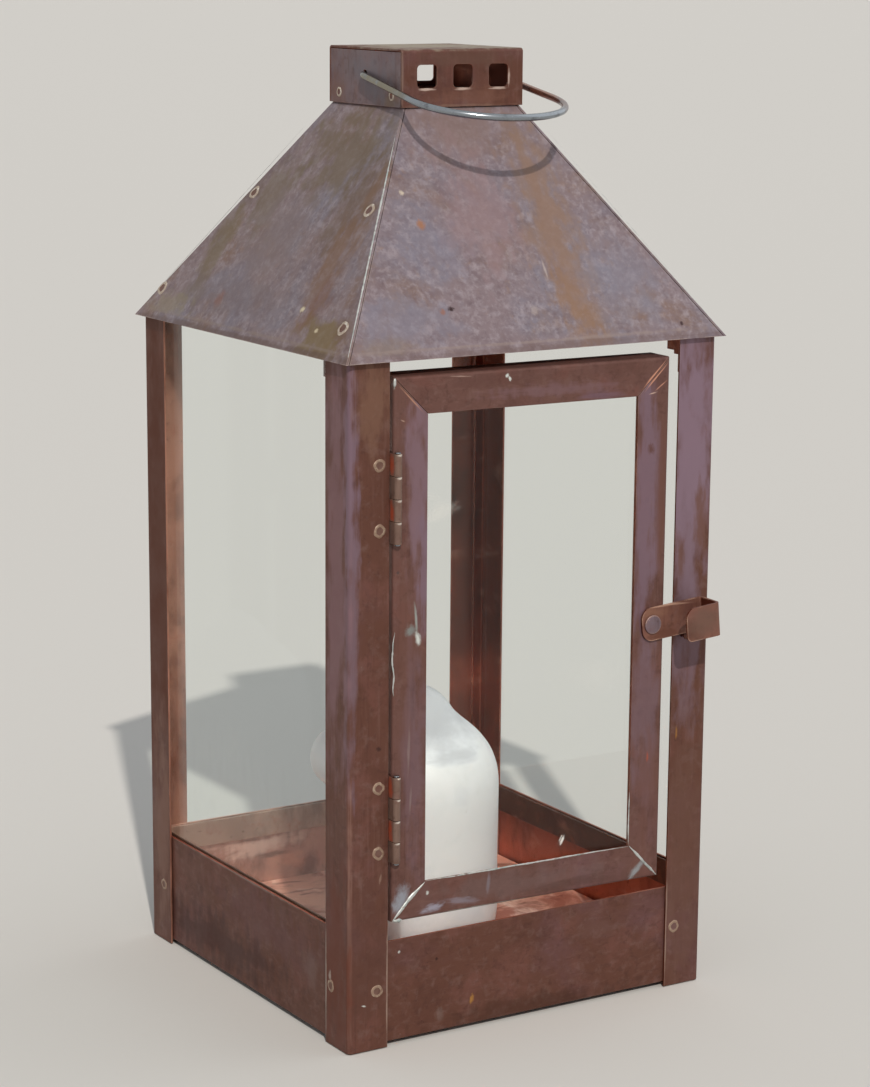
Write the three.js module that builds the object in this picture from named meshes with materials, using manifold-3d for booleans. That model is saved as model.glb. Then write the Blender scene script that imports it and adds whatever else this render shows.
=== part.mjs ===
import * as THREE from 'three';
import { mergeVertices } from 'three/addons/utils/BufferGeometryUtils.js';
import Module from 'manifold-3d';

// Square candle lantern in folded sheet copper. Millimetres, +Z up, the ground at Z 0.
// The door faces -Y and the origin is on the ground at the middle of the four posts.

const wasm = await Module();
wasm.setup();

// body
const BODY_WIDTH = 184;
const SHEET = 1;
const FOLD_RADIUS = 2;
const FIT = 0.3;
const POST_FLANGE = 19.3;
const POST_HEIGHT = 294.2;
const SKIRT_BOTTOM = 2;
const SKIRT_FRONT_TOP = 46.7;
const SKIRT_TOP = 52;
const SKIRT_RETURN = 20;
const FLOOR_TOP = 16;
const FLOOR_LIP = 8;

// glazing of the three closed sides
const PANE = 2;
const STRIP_SHEET = 0.8;
const STRIP_HEIGHT = 12;
const PANE_CORNER_GAP = 8;
const PANE_ROOF_GAP = 0.54;
const TOP_STRIP_LAP = 4.4;
const TOP_STRIP_END_GAP = 3.6;
const TOP_STRIP_REACH = 11;

// roof
const EAVE_OVERHANG = 3.1;
const EAVE_DROP = 0.45;
const ROOF_RISE = 96.65;
const HIP_LAP = 10;
const HIP_LAP_STOP = 12.4;
const HEM_HEIGHT = 3.3;
const COLLAR_HEIGHT = 6;
const COLLAR_CORNER_GAP = 2;
const BRACKET_DROP = 18.4;
const BRACKET_STEP_DROP = 9.1;
const BRACKET_FRONT_DROP = 2.2;
const BRACKET_SIDE_LEG = 18.5;
const BRACKET_FRONT_LEG = 13;
const BRACKET_KNEE = 3;
const BRACKET_KNEE_DROP = 1.6;
const BRACKET_SHOULDER = 8;
const BRACKET_FLANGE = 10;

// chimney
const CHIMNEY_HALF = 30.5;
const CHIMNEY_TALL = 24.3;
const CHIMNEY_FOLD = 1.6;
const VENT_SIZE = 9.7;
const VENT_CORNER = 1.8;
const VENT_PITCH = 18;
const VENT_DROP = 11.4;

// carrying bow, bent from one wire, at rest leaning forward and a little down
const WIRE = 3;
const WIRE_HOLE = 3.8;
const BOW_DROOP = 11;
const BOW_OFF_CHIMNEY = 1.9;
const BOW_SPREAD = 2.6;
const BOW_LEG = 50;
const BOW_CROWN = 29.5;
const BOW_END_INSIDE = 4.5;
const BOW_BEND = 2.2;
const BOW_LEG_POINTS = 5;
const BOW_CROWN_POINTS = 6;

// door, drawn shut and then turned open about its hinges
const DOOR_AJAR = 2.1;
const DOOR_GAP_RIGHT = 9.1;
const DOOR_GAP_BELOW = 8.7;
const DOOR_GAP_ABOVE = 7;
const DOOR_PROUD = 0.7;
const MEMBER_WIDTH = 16.1;
const MEMBER_DEPTH = 15;
const MEMBER_FOLD = 1.5;
const MITRE_GAP = 0.1;
const BEAD_WIDTH = 4.8;

// hinges
const HINGE_LENGTH = 37.6;
const HINGE_BELOW_DOOR_TOP = 49.9;
const HINGE_ABOVE_DOOR_BOTTOM = 45.5;
const KNUCKLES = 4;
const KNUCKLE_GAP = 0.3;
const BARREL_RADIUS = 1.8;
const BORE_RADIUS = 0.95;
const PIN_RADIUS = 0.75;
const PIN_HEAD_RADIUS = 1.3;
const PIN_HEAD = 0.6;
const LEAF = 0.7;
const LEAF_WIDTH = 12.5;

// latch
const PIVOT_FROM_EDGE = 7;
const PIVOT_BELOW_MIDDLE = 0.4;
const STRAP_SHEET = 1.1;
const STRAP_HEIGHT = 14.8;
const STRAP_TAIL = 5.2;
const STRAP_REACH = 26.8;
const STRAP_CORNER = 5;
const STRAP_FOLD = 2;
const STRAP_TILT = 5.3;
const TAB_STAND_OFF = 14.6;
const TAB_WIDTH = 17.8;
const TAB_CORNER = 5;
const TAB_FOOT_CORNER = 2.5;
const NOTCH_DEPTH = 4.2;
const RIVET_HEAD_RADIUS = 4.2;
const RIVET_HEAD = 0.9;
const RIVET_EDGE = 0.4;
const RIVET_RADIUS = 2;
const RIVET_TAIL_RADIUS = 2.6;
const STUD_OUT = 21.5;
const STUD_BELOW_STRAP = 0.5;
const STUD_RADIUS = 1.2;
const STUD_NECK = 2.8;
const STUD_HEAD_RADIUS = 2;
const STUD_HEAD = 1.2;
const STUD_EDGE = 0.6;
const HOLE_PLAY = 0.3;

// candle, its edge softened by the sun and slumped to one side
const CANDLE_X = -2.7;
const CANDLE_Y = 1.7;
const CANDLE_PROFILE = [
  [36.5, 0], [38.2, 1.5], [38.4, 34], [38.7, 62], [38.6, 70], [37.6, 76.5], [35.4, 82.5],
  [32.2, 87.5], [27.7, 92.4], [22, 97.2], [17.9, 101.2], [15.2, 105.2], [10.4, 110], [5, 113],
];
const CANDLE_TIP = 1.2;
const CANDLE_SIDES = 60;
const RINGS_BETWEEN = 3;
const LOBE_RADIUS = 14.5;
const LOBE_OUT = 32.3;
const LOBE_HEIGHT = 79;
const LOBE_TURN = 148;
const LOBE_FADE = 60;
const WICK_RADIUS = 0.9;
const WICK_BELOW = 12;
const WICK_ABOVE = 7;
const WICK_LEAN = 1.8;

// sizes that follow from those above
const HALF = BODY_WIDTH / 2;
const POST_IN = HALF - SHEET;
const SKIRT_OUT = POST_IN - FIT;
const SKIRT_IN = SKIRT_OUT - SHEET;
const RETURN_OUT = SKIRT_IN - FIT;
const RETURN_IN = RETURN_OUT - SHEET;
const STRIP_BOTTOM = SKIRT_TOP - STRIP_HEIGHT;
const PANE_OUT = SKIRT_IN - FIT;
const PANE_IN = PANE_OUT - PANE;
const STRIP_OUT = PANE_IN - FIT;
const STRIP_IN = STRIP_OUT - STRIP_SHEET;
const PANE_HALF = HALF - PANE_CORNER_GAP;
const EAVE_HALF = HALF + EAVE_OVERHANG;
const EAVE_HEIGHT = POST_HEIGHT - EAVE_DROP;
const ROOF_TOP_HEIGHT = EAVE_HEIGHT + ROOF_RISE;
const ROOF_RUN = EAVE_HALF - CHIMNEY_HALF + SHEET;
const ROOF_SLANT = Math.hypot(ROOF_RISE, ROOF_RUN);
const PANE_TOP = slopeHeight(PANE_OUT, SHEET + PANE_ROOF_GAP);
const HIP_LAP_LOW = PANE_TOP + 2 * FIT;
const HIP_LAP_HIGH = ROOF_TOP_HEIGHT - HIP_LAP_STOP;
const TOP_STRIP_LOW = PANE_TOP - TOP_STRIP_LAP;
const TOP_STRIP_INNER = STRIP_OUT - TOP_STRIP_REACH;
const TOP_STRIP_HALF = slopeOut(slopeHeight(TOP_STRIP_INNER, SHEET + FIT), HIP_LAP) - TOP_STRIP_END_GAP;
const BRACKET_LOW = POST_HEIGHT - BRACKET_DROP;
const BRACKET_STEP = POST_HEIGHT - BRACKET_STEP_DROP;
const BRACKET_FRONT_TOP = POST_HEIGHT - BRACKET_FRONT_DROP;
const COLLAR_OUT = CHIMNEY_HALF - SHEET - FIT;
const COLLAR_IN = COLLAR_OUT - SHEET;
const CHIMNEY_BOTTOM = ROOF_TOP_HEIGHT + FIT;
const CHIMNEY_TOP = CHIMNEY_BOTTOM + CHIMNEY_TALL;
const VENT_HEIGHT = CHIMNEY_TOP - VENT_DROP;
const BOW_HALF_START = CHIMNEY_HALF + BOW_OFF_CHIMNEY;
const BOW_HALF_CROWN = BOW_HALF_START + BOW_SPREAD;
const HINGE_X = -HALF + POST_FLANGE + FIT + BARREL_RADIUS;
const LEAF_LEFT = HINGE_X - BARREL_RADIUS;
const LEAF_RIGHT = LEAF_LEFT + LEAF;
const DOOR_LEFT = LEAF_RIGHT + FIT;
const DOOR_RIGHT = HALF - POST_FLANGE - DOOR_GAP_RIGHT;
const DOOR_WIDTH = DOOR_RIGHT - DOOR_LEFT;
const DOOR_BOTTOM = SKIRT_FRONT_TOP + DOOR_GAP_BELOW;
const DOOR_TOP = POST_HEIGHT - DOOR_GAP_ABOVE;
const DOOR_FRONT = -HALF - DOOR_PROUD;
const HINGE_Y = DOOR_FRONT - FIT - BARREL_RADIUS;
const HINGE_UPPER = DOOR_TOP - HINGE_BELOW_DOOR_TOP;
const HINGE_LOWER = DOOR_BOTTOM + HINGE_ABOVE_DOOR_BOTTOM;
const PIVOT_X = DOOR_RIGHT - PIVOT_FROM_EDGE;
const PIVOT_HEIGHT = (DOOR_BOTTOM + DOOR_TOP) / 2 - PIVOT_BELOW_MIDDLE;
const STRAP_BACK = DOOR_FRONT - FIT;
const DOOR_PANE_EDGE = PIVOT_FROM_EDGE + RIVET_TAIL_RADIUS + STRIP_SHEET + 2 * FIT;
const TILT = THREE.MathUtils.degToRad(STRAP_TILT);
const STUD_X = PIVOT_X + STUD_OUT;
const STUD_UNDER_STRAP = STRAP_HEIGHT / 2 + STUD_HEAD_RADIUS + STUD_BELOW_STRAP;
const STUD_DROP = STUD_UNDER_STRAP / Math.cos(TILT) - STUD_OUT * Math.tan(TILT);
const STUD_HEIGHT = PIVOT_HEIGHT - STUD_DROP;
const CANDLE_BASE = FLOOR_TOP + FIT;
const CANDLE_TOP = CANDLE_BASE + CANDLE_PROFILE.at(-1)[1] + CANDLE_TIP;
const WICK_FOOT = CANDLE_TOP - WICK_BELOW + FIT;
const X = new THREE.Vector3(1, 0, 0);
const Y = new THREE.Vector3(0, 1, 0);
const Z = new THREE.Vector3(0, 0, 1);

const COPPER = { color: 0x6e4a40, roughness: 0.55, metalness: 0.8 };
const ROOF_COPPER = { color: 0x77655f, roughness: 0.6, metalness: 0.7 };
const BRIGHT_COPPER = { color: 0xb0603f, roughness: 0.4, metalness: 0.9 };
const STEEL = { color: 0x9a9a9c, roughness: 0.35, metalness: 1 };
const GLASS = { color: 0xdfe8e6, roughness: 0.03, metalness: 0 };
const WAX = { color: 0xdddcd8, roughness: 0.5, metalness: 0 };
const CHAR = { color: 0x2a2622, roughness: 0.9, metalness: 0 };

const lantern = new THREE.Group();
lantern.name = 'copper_lantern';

function add(name, solid, finish, place = new THREE.Matrix4()) {
  const geometry = geometryOf(solid).applyMatrix4(place);
  const mesh = new THREE.Mesh(geometry, new THREE.MeshStandardMaterial(finish));
  mesh.name = name;
  lantern.add(mesh);
}

// a closed body from a geometry, with doubled points welded and its faces turned outwards
function solidOf(geometry) {
  const bare = new THREE.BufferGeometry();
  bare.setAttribute('position', geometry.getAttribute('position').clone());
  if (geometry.index) bare.setIndex(geometry.index.clone());
  const welded = mergeVertices(bare, 1e-4);
  const points = welded.getAttribute('position');
  const faces = [];
  let volume = 0;
  const [a, b, c] = [new THREE.Vector3(), new THREE.Vector3(), new THREE.Vector3()];
  for (let i = 0; i < welded.index.count; i += 3) {
    const face = [0, 1, 2].map((k) => welded.index.getX(i + k));
    if (new Set(face).size < 3) continue;
    faces.push(face);
    a.fromBufferAttribute(points, face[0]);
    b.fromBufferAttribute(points, face[1]);
    c.fromBufferAttribute(points, face[2]);
    volume += a.dot(b.clone().cross(c));
  }
  const outward = volume < 0 ? faces.map((face) => face.reverse()) : faces;
  return new wasm.Manifold(new wasm.Mesh({
    numProp: 3,
    vertProperties: new Float32Array(points.array),
    triVerts: new Uint32Array(outward.flat()),
  }));
}

function geometryOf(solid) {
  const mesh = solid.getMesh();
  const geometry = new THREE.BufferGeometry();
  geometry.setAttribute('position', new THREE.BufferAttribute(Float32Array.from(mesh.vertProperties), 3));
  geometry.setIndex(new THREE.BufferAttribute(Uint32Array.from(mesh.triVerts), 1));
  geometry.computeVertexNormals();
  return geometry;
}

function facets(points, faces) {
  const geometry = new THREE.BufferGeometry().setFromPoints(points);
  geometry.setIndex(faces.flat());
  return solidOf(geometry);
}

function joined(solids) {
  return solids.reduce((all, next) => all.add(next));
}

function box(low, high) {
  const size = high.map((value, i) => value - low[i]);
  const geometry = new THREE.BoxGeometry(...size);
  geometry.translate(...low.map((value, i) => value + size[i] / 2));
  return solidOf(geometry);
}

// the limits between two distances out from the middle, on the side given by its sign
function span(side, inner, outer) {
  return side > 0 ? [inner, outer] : [-outer, -inner];
}

function bar(radius, axis, start, length, sides = 24) {
  const geometry = new THREE.CylinderGeometry(radius, radius, length, sides);
  geometry.translate(0, length / 2, 0);
  if (axis === 'x') geometry.rotateZ(-Math.PI / 2);
  if (axis === 'z') geometry.rotateX(Math.PI / 2);
  geometry.translate(...start);
  return solidOf(geometry);
}

// a round piece turned about an axis along Y, from pairs of radius and Y
function turned(profile, x, z, sides = 32) {
  const geometry = new THREE.LatheGeometry(profile.map(([r, y]) => new THREE.Vector2(r, y)), sides);
  geometry.translate(x, 0, z);
  return solidOf(geometry);
}

function extruded(points, depth, place = new THREE.Matrix4()) {
  const shape = new THREE.Shape(points.map(([x, y]) => new THREE.Vector2(x, y)));
  const geometry = new THREE.ExtrudeGeometry(shape, { depth, bevelEnabled: false });
  return solidOf(geometry.applyMatrix4(place));
}

// a wire of round section along a curve
function wire(points, radius, steps, sides) {
  const shape = new THREE.Shape().absarc(0, 0, radius, 0, Math.PI * 2);
  const path = new THREE.CatmullRomCurve3(points);
  const options = { steps, curveSegments: sides / 2, bevelEnabled: false, extrudePath: path };
  return solidOf(new THREE.ExtrudeGeometry(shape, options));
}

function arc(cx, cy, radius, from, to, steps = 5) {
  const points = [];
  for (let i = 0; i <= steps; i += 1) {
    const angle = THREE.MathUtils.degToRad(from + ((to - from) * i) / steps);
    points.push([cx + radius * Math.cos(angle), cy + radius * Math.sin(angle)]);
  }
  return points;
}

// an angle in section: its fold at 0, 0 and its two flanges along the axes
function angleSection(first, second, radius) {
  return [
    ...arc(radius, radius, radius, 180, 270),
    [first, 0],
    [first, SHEET],
    ...arc(radius, radius, radius - SHEET, 270, 180),
    [SHEET, second],
    [0, second],
  ];
}

// posts and base

function post(sideX, sideY) {
  const section = angleSection(POST_FLANGE, POST_FLANGE, FOLD_RADIUS);
  return extruded(section.map(([x, y]) => [sideX * (HALF - x), sideY * (HALF - y)]), POST_HEIGHT);
}

function skirtSide(side) {
  const [left, right] = span(side, SKIRT_IN, SKIRT_OUT);
  return box([left, -SKIRT_OUT, SKIRT_BOTTOM], [right, SKIRT_OUT, SKIRT_TOP]);
}

// the front and rear panels turn round the corners and lie inside the side panels
function skirtEnd(side, top) {
  const [front, back] = span(side, SKIRT_IN, SKIRT_OUT);
  const plate = box([-RETURN_OUT, front, SKIRT_BOTTOM], [RETURN_OUT, back, top]);
  const returnTop = STRIP_BOTTOM - FIT;
  const [near, far] = span(side, SKIRT_OUT - SKIRT_RETURN, SKIRT_OUT);
  const returns = [-1, 1].map((end) => {
    const [left, right] = span(end, RETURN_IN, RETURN_OUT);
    return box([left, near, SKIRT_BOTTOM], [right, far, returnTop]);
  });
  return joined([plate, ...returns]);
}

function floorPan() {
  const halfX = RETURN_IN - FIT;
  const halfY = SKIRT_IN - FIT;
  const low = FLOOR_TOP - FLOOR_LIP;
  const block = box([-halfX, -halfY, low], [halfX, halfY, FLOOR_TOP]);
  const hollow = box(
    [-halfX + SHEET, -halfY + SHEET, low - SHEET],
    [halfX - SHEET, halfY - SHEET, FLOOR_TOP - SHEET],
  );
  return block.subtract(hollow);
}

// planes and the slabs between them

// how far out, and how high, the roof slope is at a depth through its sheet
function slopeOut(height, depth) {
  return EAVE_HALF - ((height - EAVE_HEIGHT) * ROOF_RUN + depth * ROOF_SLANT) / ROOF_RISE;
}

function slopeHeight(out, depth) {
  return EAVE_HEIGHT + ((EAVE_HALF - out) * ROOF_RISE - depth * ROOF_SLANT) / ROOF_RUN;
}

function upright(ux, uy, distance) {
  return new THREE.Plane(new THREE.Vector3(ux, uy, 0), -distance);
}

function level(height) {
  return new THREE.Plane(Z, -height);
}

// the roof slope that faces ux, uy, moved in by a depth through the sheet
function slope(ux, uy, depth) {
  const normal = new THREE.Vector3(ux * ROOF_RISE, uy * ROOF_RISE, ROOF_RUN).normalize();
  const point = new THREE.Vector3(ux * EAVE_HALF, uy * EAVE_HALF, EAVE_HEIGHT);
  return new THREE.Plane().setFromNormalAndCoplanarPoint(normal, point.addScaledVector(normal, -depth));
}

function meet(p, q, r) {
  const pq = p.normal.clone().cross(q.normal);
  const qr = q.normal.clone().cross(r.normal);
  const rp = r.normal.clone().cross(p.normal);
  const sum = qr.clone().multiplyScalar(-p.constant);
  sum.addScaledVector(rp, -q.constant).addScaledVector(pq, -r.constant);
  return sum.divideScalar(p.normal.dot(qr));
}

const SLAB_FACES = [
  [0, 1, 3], [0, 3, 2], [4, 6, 7], [4, 7, 5], [0, 4, 5], [0, 5, 1],
  [2, 3, 7], [2, 7, 6], [0, 2, 6], [0, 6, 4], [1, 5, 7], [1, 7, 3],
];

function slab([outer, inner], [low, high], [left, right]) {
  const corners = [];
  for (const face of [outer, inner]) {
    for (const end of [low, high]) {
      for (const side of [left, right]) corners.push(meet(face, end, side));
    }
  }
  return facets(corners, SLAB_FACES);
}

// side panes and the strips that hold them, each drawn for the side that faces ux, uy

function across(ux, uy, from, to) {
  return [upright(Math.abs(uy), Math.abs(ux), from), upright(Math.abs(uy), Math.abs(ux), to)];
}

function pane(ux, uy) {
  const faces = [upright(ux, uy, PANE_OUT), upright(ux, uy, PANE_IN)];
  const ends = [level(STRIP_BOTTOM + STRIP_SHEET + FIT), level(PANE_TOP)];
  return slab(faces, ends, across(ux, uy, -PANE_HALF, PANE_HALF));
}

function bottomStrip(ux, uy, from, to) {
  const ends = across(ux, uy, from, to);
  const leg = [upright(ux, uy, STRIP_OUT), upright(ux, uy, STRIP_IN)];
  const foot = [upright(ux, uy, PANE_OUT), upright(ux, uy, STRIP_IN)];
  return joined([
    slab(leg, [level(STRIP_BOTTOM), level(SKIRT_TOP)], ends),
    slab(foot, [level(STRIP_BOTTOM), level(STRIP_BOTTOM + STRIP_SHEET)], ends),
  ]);
}

function topStrip(ux, uy) {
  const ends = across(ux, uy, -TOP_STRIP_HALF, TOP_STRIP_HALF);
  const under = SHEET + FIT;
  const leg = [upright(ux, uy, STRIP_OUT), upright(ux, uy, STRIP_IN)];
  const flange = [slope(ux, uy, under), slope(ux, uy, under + STRIP_SHEET)];
  const reach = [upright(ux, uy, STRIP_OUT), upright(ux, uy, TOP_STRIP_INNER)];
  return joined([
    slab(leg, [level(TOP_STRIP_LOW), slope(ux, uy, under)], ends),
    slab(flange, reach, ends),
  ]);
}

// roof

function roofSheet(ux, uy, hips) {
  const sheet = [slope(ux, uy, 0), slope(ux, uy, SHEET)];
  return slab(sheet, [level(EAVE_HEIGHT), upright(ux, uy, COLLAR_IN)], hips(0));
}

function eaveHem(ux, uy, hips) {
  const fold = [slope(ux, uy, SHEET / 2), slope(ux, uy, 2 * SHEET)];
  return slab(fold, [level(EAVE_HEIGHT), level(EAVE_HEIGHT + HEM_HEIGHT)], hips(SHEET));
}

function collar(ux, uy) {
  const faces = [upright(ux, uy, COLLAR_OUT), upright(ux, uy, COLLAR_IN)];
  const half = COLLAR_OUT - COLLAR_CORNER_GAP;
  const ends = [level(ROOF_TOP_HEIGHT - FIT / 2), level(ROOF_TOP_HEIGHT + COLLAR_HEIGHT)];
  return slab(faces, ends, across(ux, uy, -half, half));
}

function roofSide(side) {
  const hips = (depth) => [slope(0, -1, depth), slope(0, 1, depth)];
  const sheet = [roofSheet(side, 0, hips), collar(side, 0)];
  const lapDepth = 2 * SHEET + 2 * FIT;
  return joined([...sheet, eaveHem(side, 0, (depth) => hips(depth + lapDepth))]);
}

// the front and rear panels fold round the hips and lie under the side panels
function roofEnd(side) {
  const under = SHEET + FIT;
  const hips = (depth) => [slope(-1, 0, depth + under), slope(1, 0, depth + under)];
  const laps = [-1, 1].map((end) => slab(
    [slope(end, 0, under), slope(end, 0, under + SHEET)],
    [level(HIP_LAP_LOW), level(HIP_LAP_HIGH)],
    [slope(0, side, 0), slope(0, side, HIP_LAP)],
  ));
  return joined([roofSheet(0, side, hips), eaveHem(0, side, hips), collar(0, side), ...laps]);
}

// a stepped angle in each front corner joins post and roof and holds the side pane's front edge
function roofBracket(side) {
  const plate = [upright(side, 0, STRIP_OUT), upright(side, 0, STRIP_IN)];
  const under = 2 * SHEET + 2 * FIT;
  const front = -SKIRT_OUT;
  const back = front + BRACKET_SIDE_LEG;
  const shoulder = back + BRACKET_SHOULDER;
  const behindEave = -slopeOut(slopeHeight(STRIP_IN, under), SHEET + FIT);
  const lowEnds = [level(BRACKET_LOW), level(BRACKET_FRONT_TOP)];
  const leg = [upright(0, 1, front), upright(0, 1, front + STRIP_SHEET)];
  const legEnds = [upright(side, 0, STRIP_OUT), upright(side, 0, STRIP_OUT - BRACKET_FRONT_LEG)];
  const kneeEnds = [level(BRACKET_STEP - BRACKET_KNEE_DROP), level(BRACKET_STEP + STRIP_SHEET)];
  const flange = [slope(side, 0, under), slope(side, 0, under + STRIP_SHEET)];
  const reach = [upright(side, 0, STRIP_OUT), upright(side, 0, STRIP_OUT - BRACKET_FLANGE)];
  const topEnds = [level(BRACKET_STEP), slope(side, 0, under)];
  return joined([
    slab(plate, lowEnds, [upright(0, 1, front), upright(0, 1, back)]),
    slab(leg, lowEnds, legEnds),
    slab(plate, kneeEnds, [upright(0, 1, front), upright(0, 1, back + BRACKET_KNEE)]),
    slab(plate, topEnds, [upright(0, 1, behindEave), upright(0, 1, shoulder)]),
    slab(flange, reach, [slope(0, -1, SHEET + FIT), upright(0, 1, shoulder)]),
  ]);
}

// chimney

function chimneyStrap() {
  const fold = CHIMNEY_HALF - CHIMNEY_FOLD;
  const inside = CHIMNEY_HALF - SHEET;
  const section = [
    [-CHIMNEY_HALF, CHIMNEY_BOTTOM],
    ...arc(-fold, CHIMNEY_TOP - CHIMNEY_FOLD, CHIMNEY_FOLD, 180, 90),
    ...arc(fold, CHIMNEY_TOP - CHIMNEY_FOLD, CHIMNEY_FOLD, 90, 0),
    [CHIMNEY_HALF, CHIMNEY_BOTTOM],
    [inside, CHIMNEY_BOTTOM],
    [inside, CHIMNEY_TOP - SHEET],
    [-inside, CHIMNEY_TOP - SHEET],
    [-inside, CHIMNEY_BOTTOM],
  ];
  const alongX = new THREE.Matrix4().makeBasis(Y, Z, X).setPosition(-CHIMNEY_HALF, 0, 0);
  const strap = extruded(section, 2 * CHIMNEY_HALF, alongX);
  return strap.subtract(joined([-1, 0, 1].map((place) => ventTool(place * VENT_PITCH))));
}

function ventTool(x) {
  const edge = VENT_SIZE / 2 - VENT_CORNER;
  const outline = [
    ...arc(edge, edge, VENT_CORNER, 0, 90),
    ...arc(-edge, edge, VENT_CORNER, 90, 180),
    ...arc(-edge, -edge, VENT_CORNER, 180, 270),
    ...arc(edge, -edge, VENT_CORNER, 270, 360),
  ];
  const throughBoth = new THREE.Matrix4().makeBasis(X, Z, Y.clone().negate());
  throughBoth.setPosition(x, HALF, VENT_HEIGHT);
  return extruded(outline, BODY_WIDTH, throughBoth);
}

function chimneySide(side) {
  const [left, right] = span(side, CHIMNEY_HALF - SHEET, CHIMNEY_HALF);
  const half = CHIMNEY_HALF - SHEET - FIT;
  const plate = box([left, -half, CHIMNEY_BOTTOM], [right, half, CHIMNEY_TOP - SHEET - FIT]);
  return plate.subtract(bar(WIRE_HOLE / 2, 'x', [left - SHEET, 0, VENT_HEIGHT], 3 * SHEET));
}

function carryingBow() {
  const start = BOW_HALF_START;
  const bend = arc(start - BOW_BEND, BOW_BEND, BOW_BEND, 270, 360, 3);
  const half = [[CHIMNEY_HALF - BOW_END_INSIDE, 0], ...bend];
  for (let i = 1; i < BOW_LEG_POINTS; i += 1) {
    const part = i / BOW_LEG_POINTS;
    half.push([start + BOW_SPREAD * part, BOW_LEG * part]);
  }
  for (const [out, up] of arc(0, 0, 1, 0, 90, BOW_CROWN_POINTS).slice(0, -1)) {
    half.push([BOW_HALF_CROWN * out, BOW_LEG + BOW_CROWN * up]);
  }
  const mirrored = half.slice().reverse().map(([x, reach]) => [-x, reach]);
  const droop = THREE.MathUtils.degToRad(BOW_DROOP);
  const points = [...half, [0, BOW_LEG + BOW_CROWN], ...mirrored].map(([x, reach]) => (
    new THREE.Vector3(x, -reach * Math.cos(droop), VENT_HEIGHT - reach * Math.sin(droop))
  ));
  return wire(points, WIRE / 2, 150, 12);
}

// door

const doorOpen = new THREE.Matrix4().makeTranslation(HINGE_X, HINGE_Y, 0)
  .multiply(new THREE.Matrix4().makeRotationZ(-THREE.MathUtils.degToRad(DOOR_AJAR)))
  .multiply(new THREE.Matrix4().makeTranslation(-HINGE_X, -HINGE_Y, 0));

// a length of folded strip cut to 45 degrees at both ends; its section is in pairs of distance in
// from the door's edge and depth behind the door's face
function mitred(section, origin, along, inward, length) {
  const points = [];
  for (const far of [false, true]) {
    for (const [inset, depth] of section) {
      const distance = far ? length - inset - MITRE_GAP : inset + MITRE_GAP;
      const point = new THREE.Vector3(...origin).addScaledVector(along, distance);
      points.push(point.addScaledVector(inward, inset).addScaledVector(Y, depth));
    }
  }
  const count = section.length;
  const outline = section.map(([x, y]) => new THREE.Vector2(x, y));
  const cap = THREE.ShapeUtils.triangulateShape(outline, []);
  const turn = THREE.ShapeUtils.isClockWise(outline) ? -1 : 1;
  const faces = [];
  for (const [a, b, c] of cap) {
    faces.push([a, c, b], [a + count, b + count, c + count]);
  }
  for (let i = 0; i < count; i += 1) {
    const next = (i + 1) % count;
    const [from, to] = turn > 0 ? [i, next] : [next, i];
    faces.push([from, to, to + count], [from, to + count, from + count]);
  }
  return facets(points, faces);
}

const DOOR_EDGES = {
  rail_bottom: [[DOOR_LEFT, DOOR_FRONT, DOOR_BOTTOM], X, Z, DOOR_WIDTH],
  rail_top: [[DOOR_LEFT, DOOR_FRONT, DOOR_TOP], X, Z.clone().negate(), DOOR_WIDTH],
  stile_left: [[DOOR_LEFT, DOOR_FRONT, DOOR_BOTTOM], Z, X, DOOR_TOP - DOOR_BOTTOM],
  stile_right: [[DOOR_RIGHT, DOOR_FRONT, DOOR_BOTTOM], Z, X.clone().negate(), DOOR_TOP - DOOR_BOTTOM],
};

function doorMember(edge) {
  const member = mitred(angleSection(MEMBER_WIDTH, MEMBER_DEPTH, MEMBER_FOLD), ...DOOR_EDGES[edge]);
  if (edge !== 'stile_right') return member;
  const start = [PIVOT_X, DOOR_FRONT - SHEET, PIVOT_HEIGHT];
  return member.subtract(bar(RIVET_RADIUS + HOLE_PLAY, 'y', start, 3 * SHEET));
}

function doorBead(edge) {
  const foot = DOOR_PANE_EDGE - FIT;
  const front = SHEET + FIT;
  const back = front + PANE + FIT;
  const section = [
    [foot - STRIP_SHEET, front], [foot, front], [foot, back], [foot + BEAD_WIDTH - STRIP_SHEET, back],
    [foot + BEAD_WIDTH - STRIP_SHEET, back + STRIP_SHEET], [foot - STRIP_SHEET, back + STRIP_SHEET],
  ];
  return mitred(section, ...DOOR_EDGES[edge]);
}

function doorPane() {
  const front = DOOR_FRONT + SHEET + FIT;
  return box(
    [DOOR_LEFT + DOOR_PANE_EDGE, front, DOOR_BOTTOM + DOOR_PANE_EDGE],
    [DOOR_RIGHT - DOOR_PANE_EDGE, front + PANE, DOOR_TOP - DOOR_PANE_EDGE],
  );
}

// hinges: knuckles turn about a pin in front of the gap between post and door

function knuckles(height, first) {
  const pitch = HINGE_LENGTH / KNUCKLES;
  const list = [];
  for (let i = first; i < KNUCKLES; i += 2) {
    const top = height + HINGE_LENGTH / 2 - i * pitch - KNUCKLE_GAP / 2;
    list.push([top - pitch + KNUCKLE_GAP, top]);
  }
  return list;
}

function knuckle([low, high]) {
  const tall = high - low;
  const barrel = bar(BARREL_RADIUS, 'z', [HINGE_X, HINGE_Y, low], tall, 20);
  return barrel.subtract(bar(BORE_RADIUS, 'z', [HINGE_X, HINGE_Y, low - SHEET], tall + 2 * SHEET, 16));
}

function hingeLeaf(height, first, webBack, plate) {
  const pieces = [plate];
  for (const limits of knuckles(height, first)) {
    pieces.push(knuckle(limits));
    pieces.push(box([LEAF_LEFT, HINGE_Y, limits[0]], [LEAF_RIGHT, webBack, limits[1]]));
  }
  return joined(pieces);
}

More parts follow.
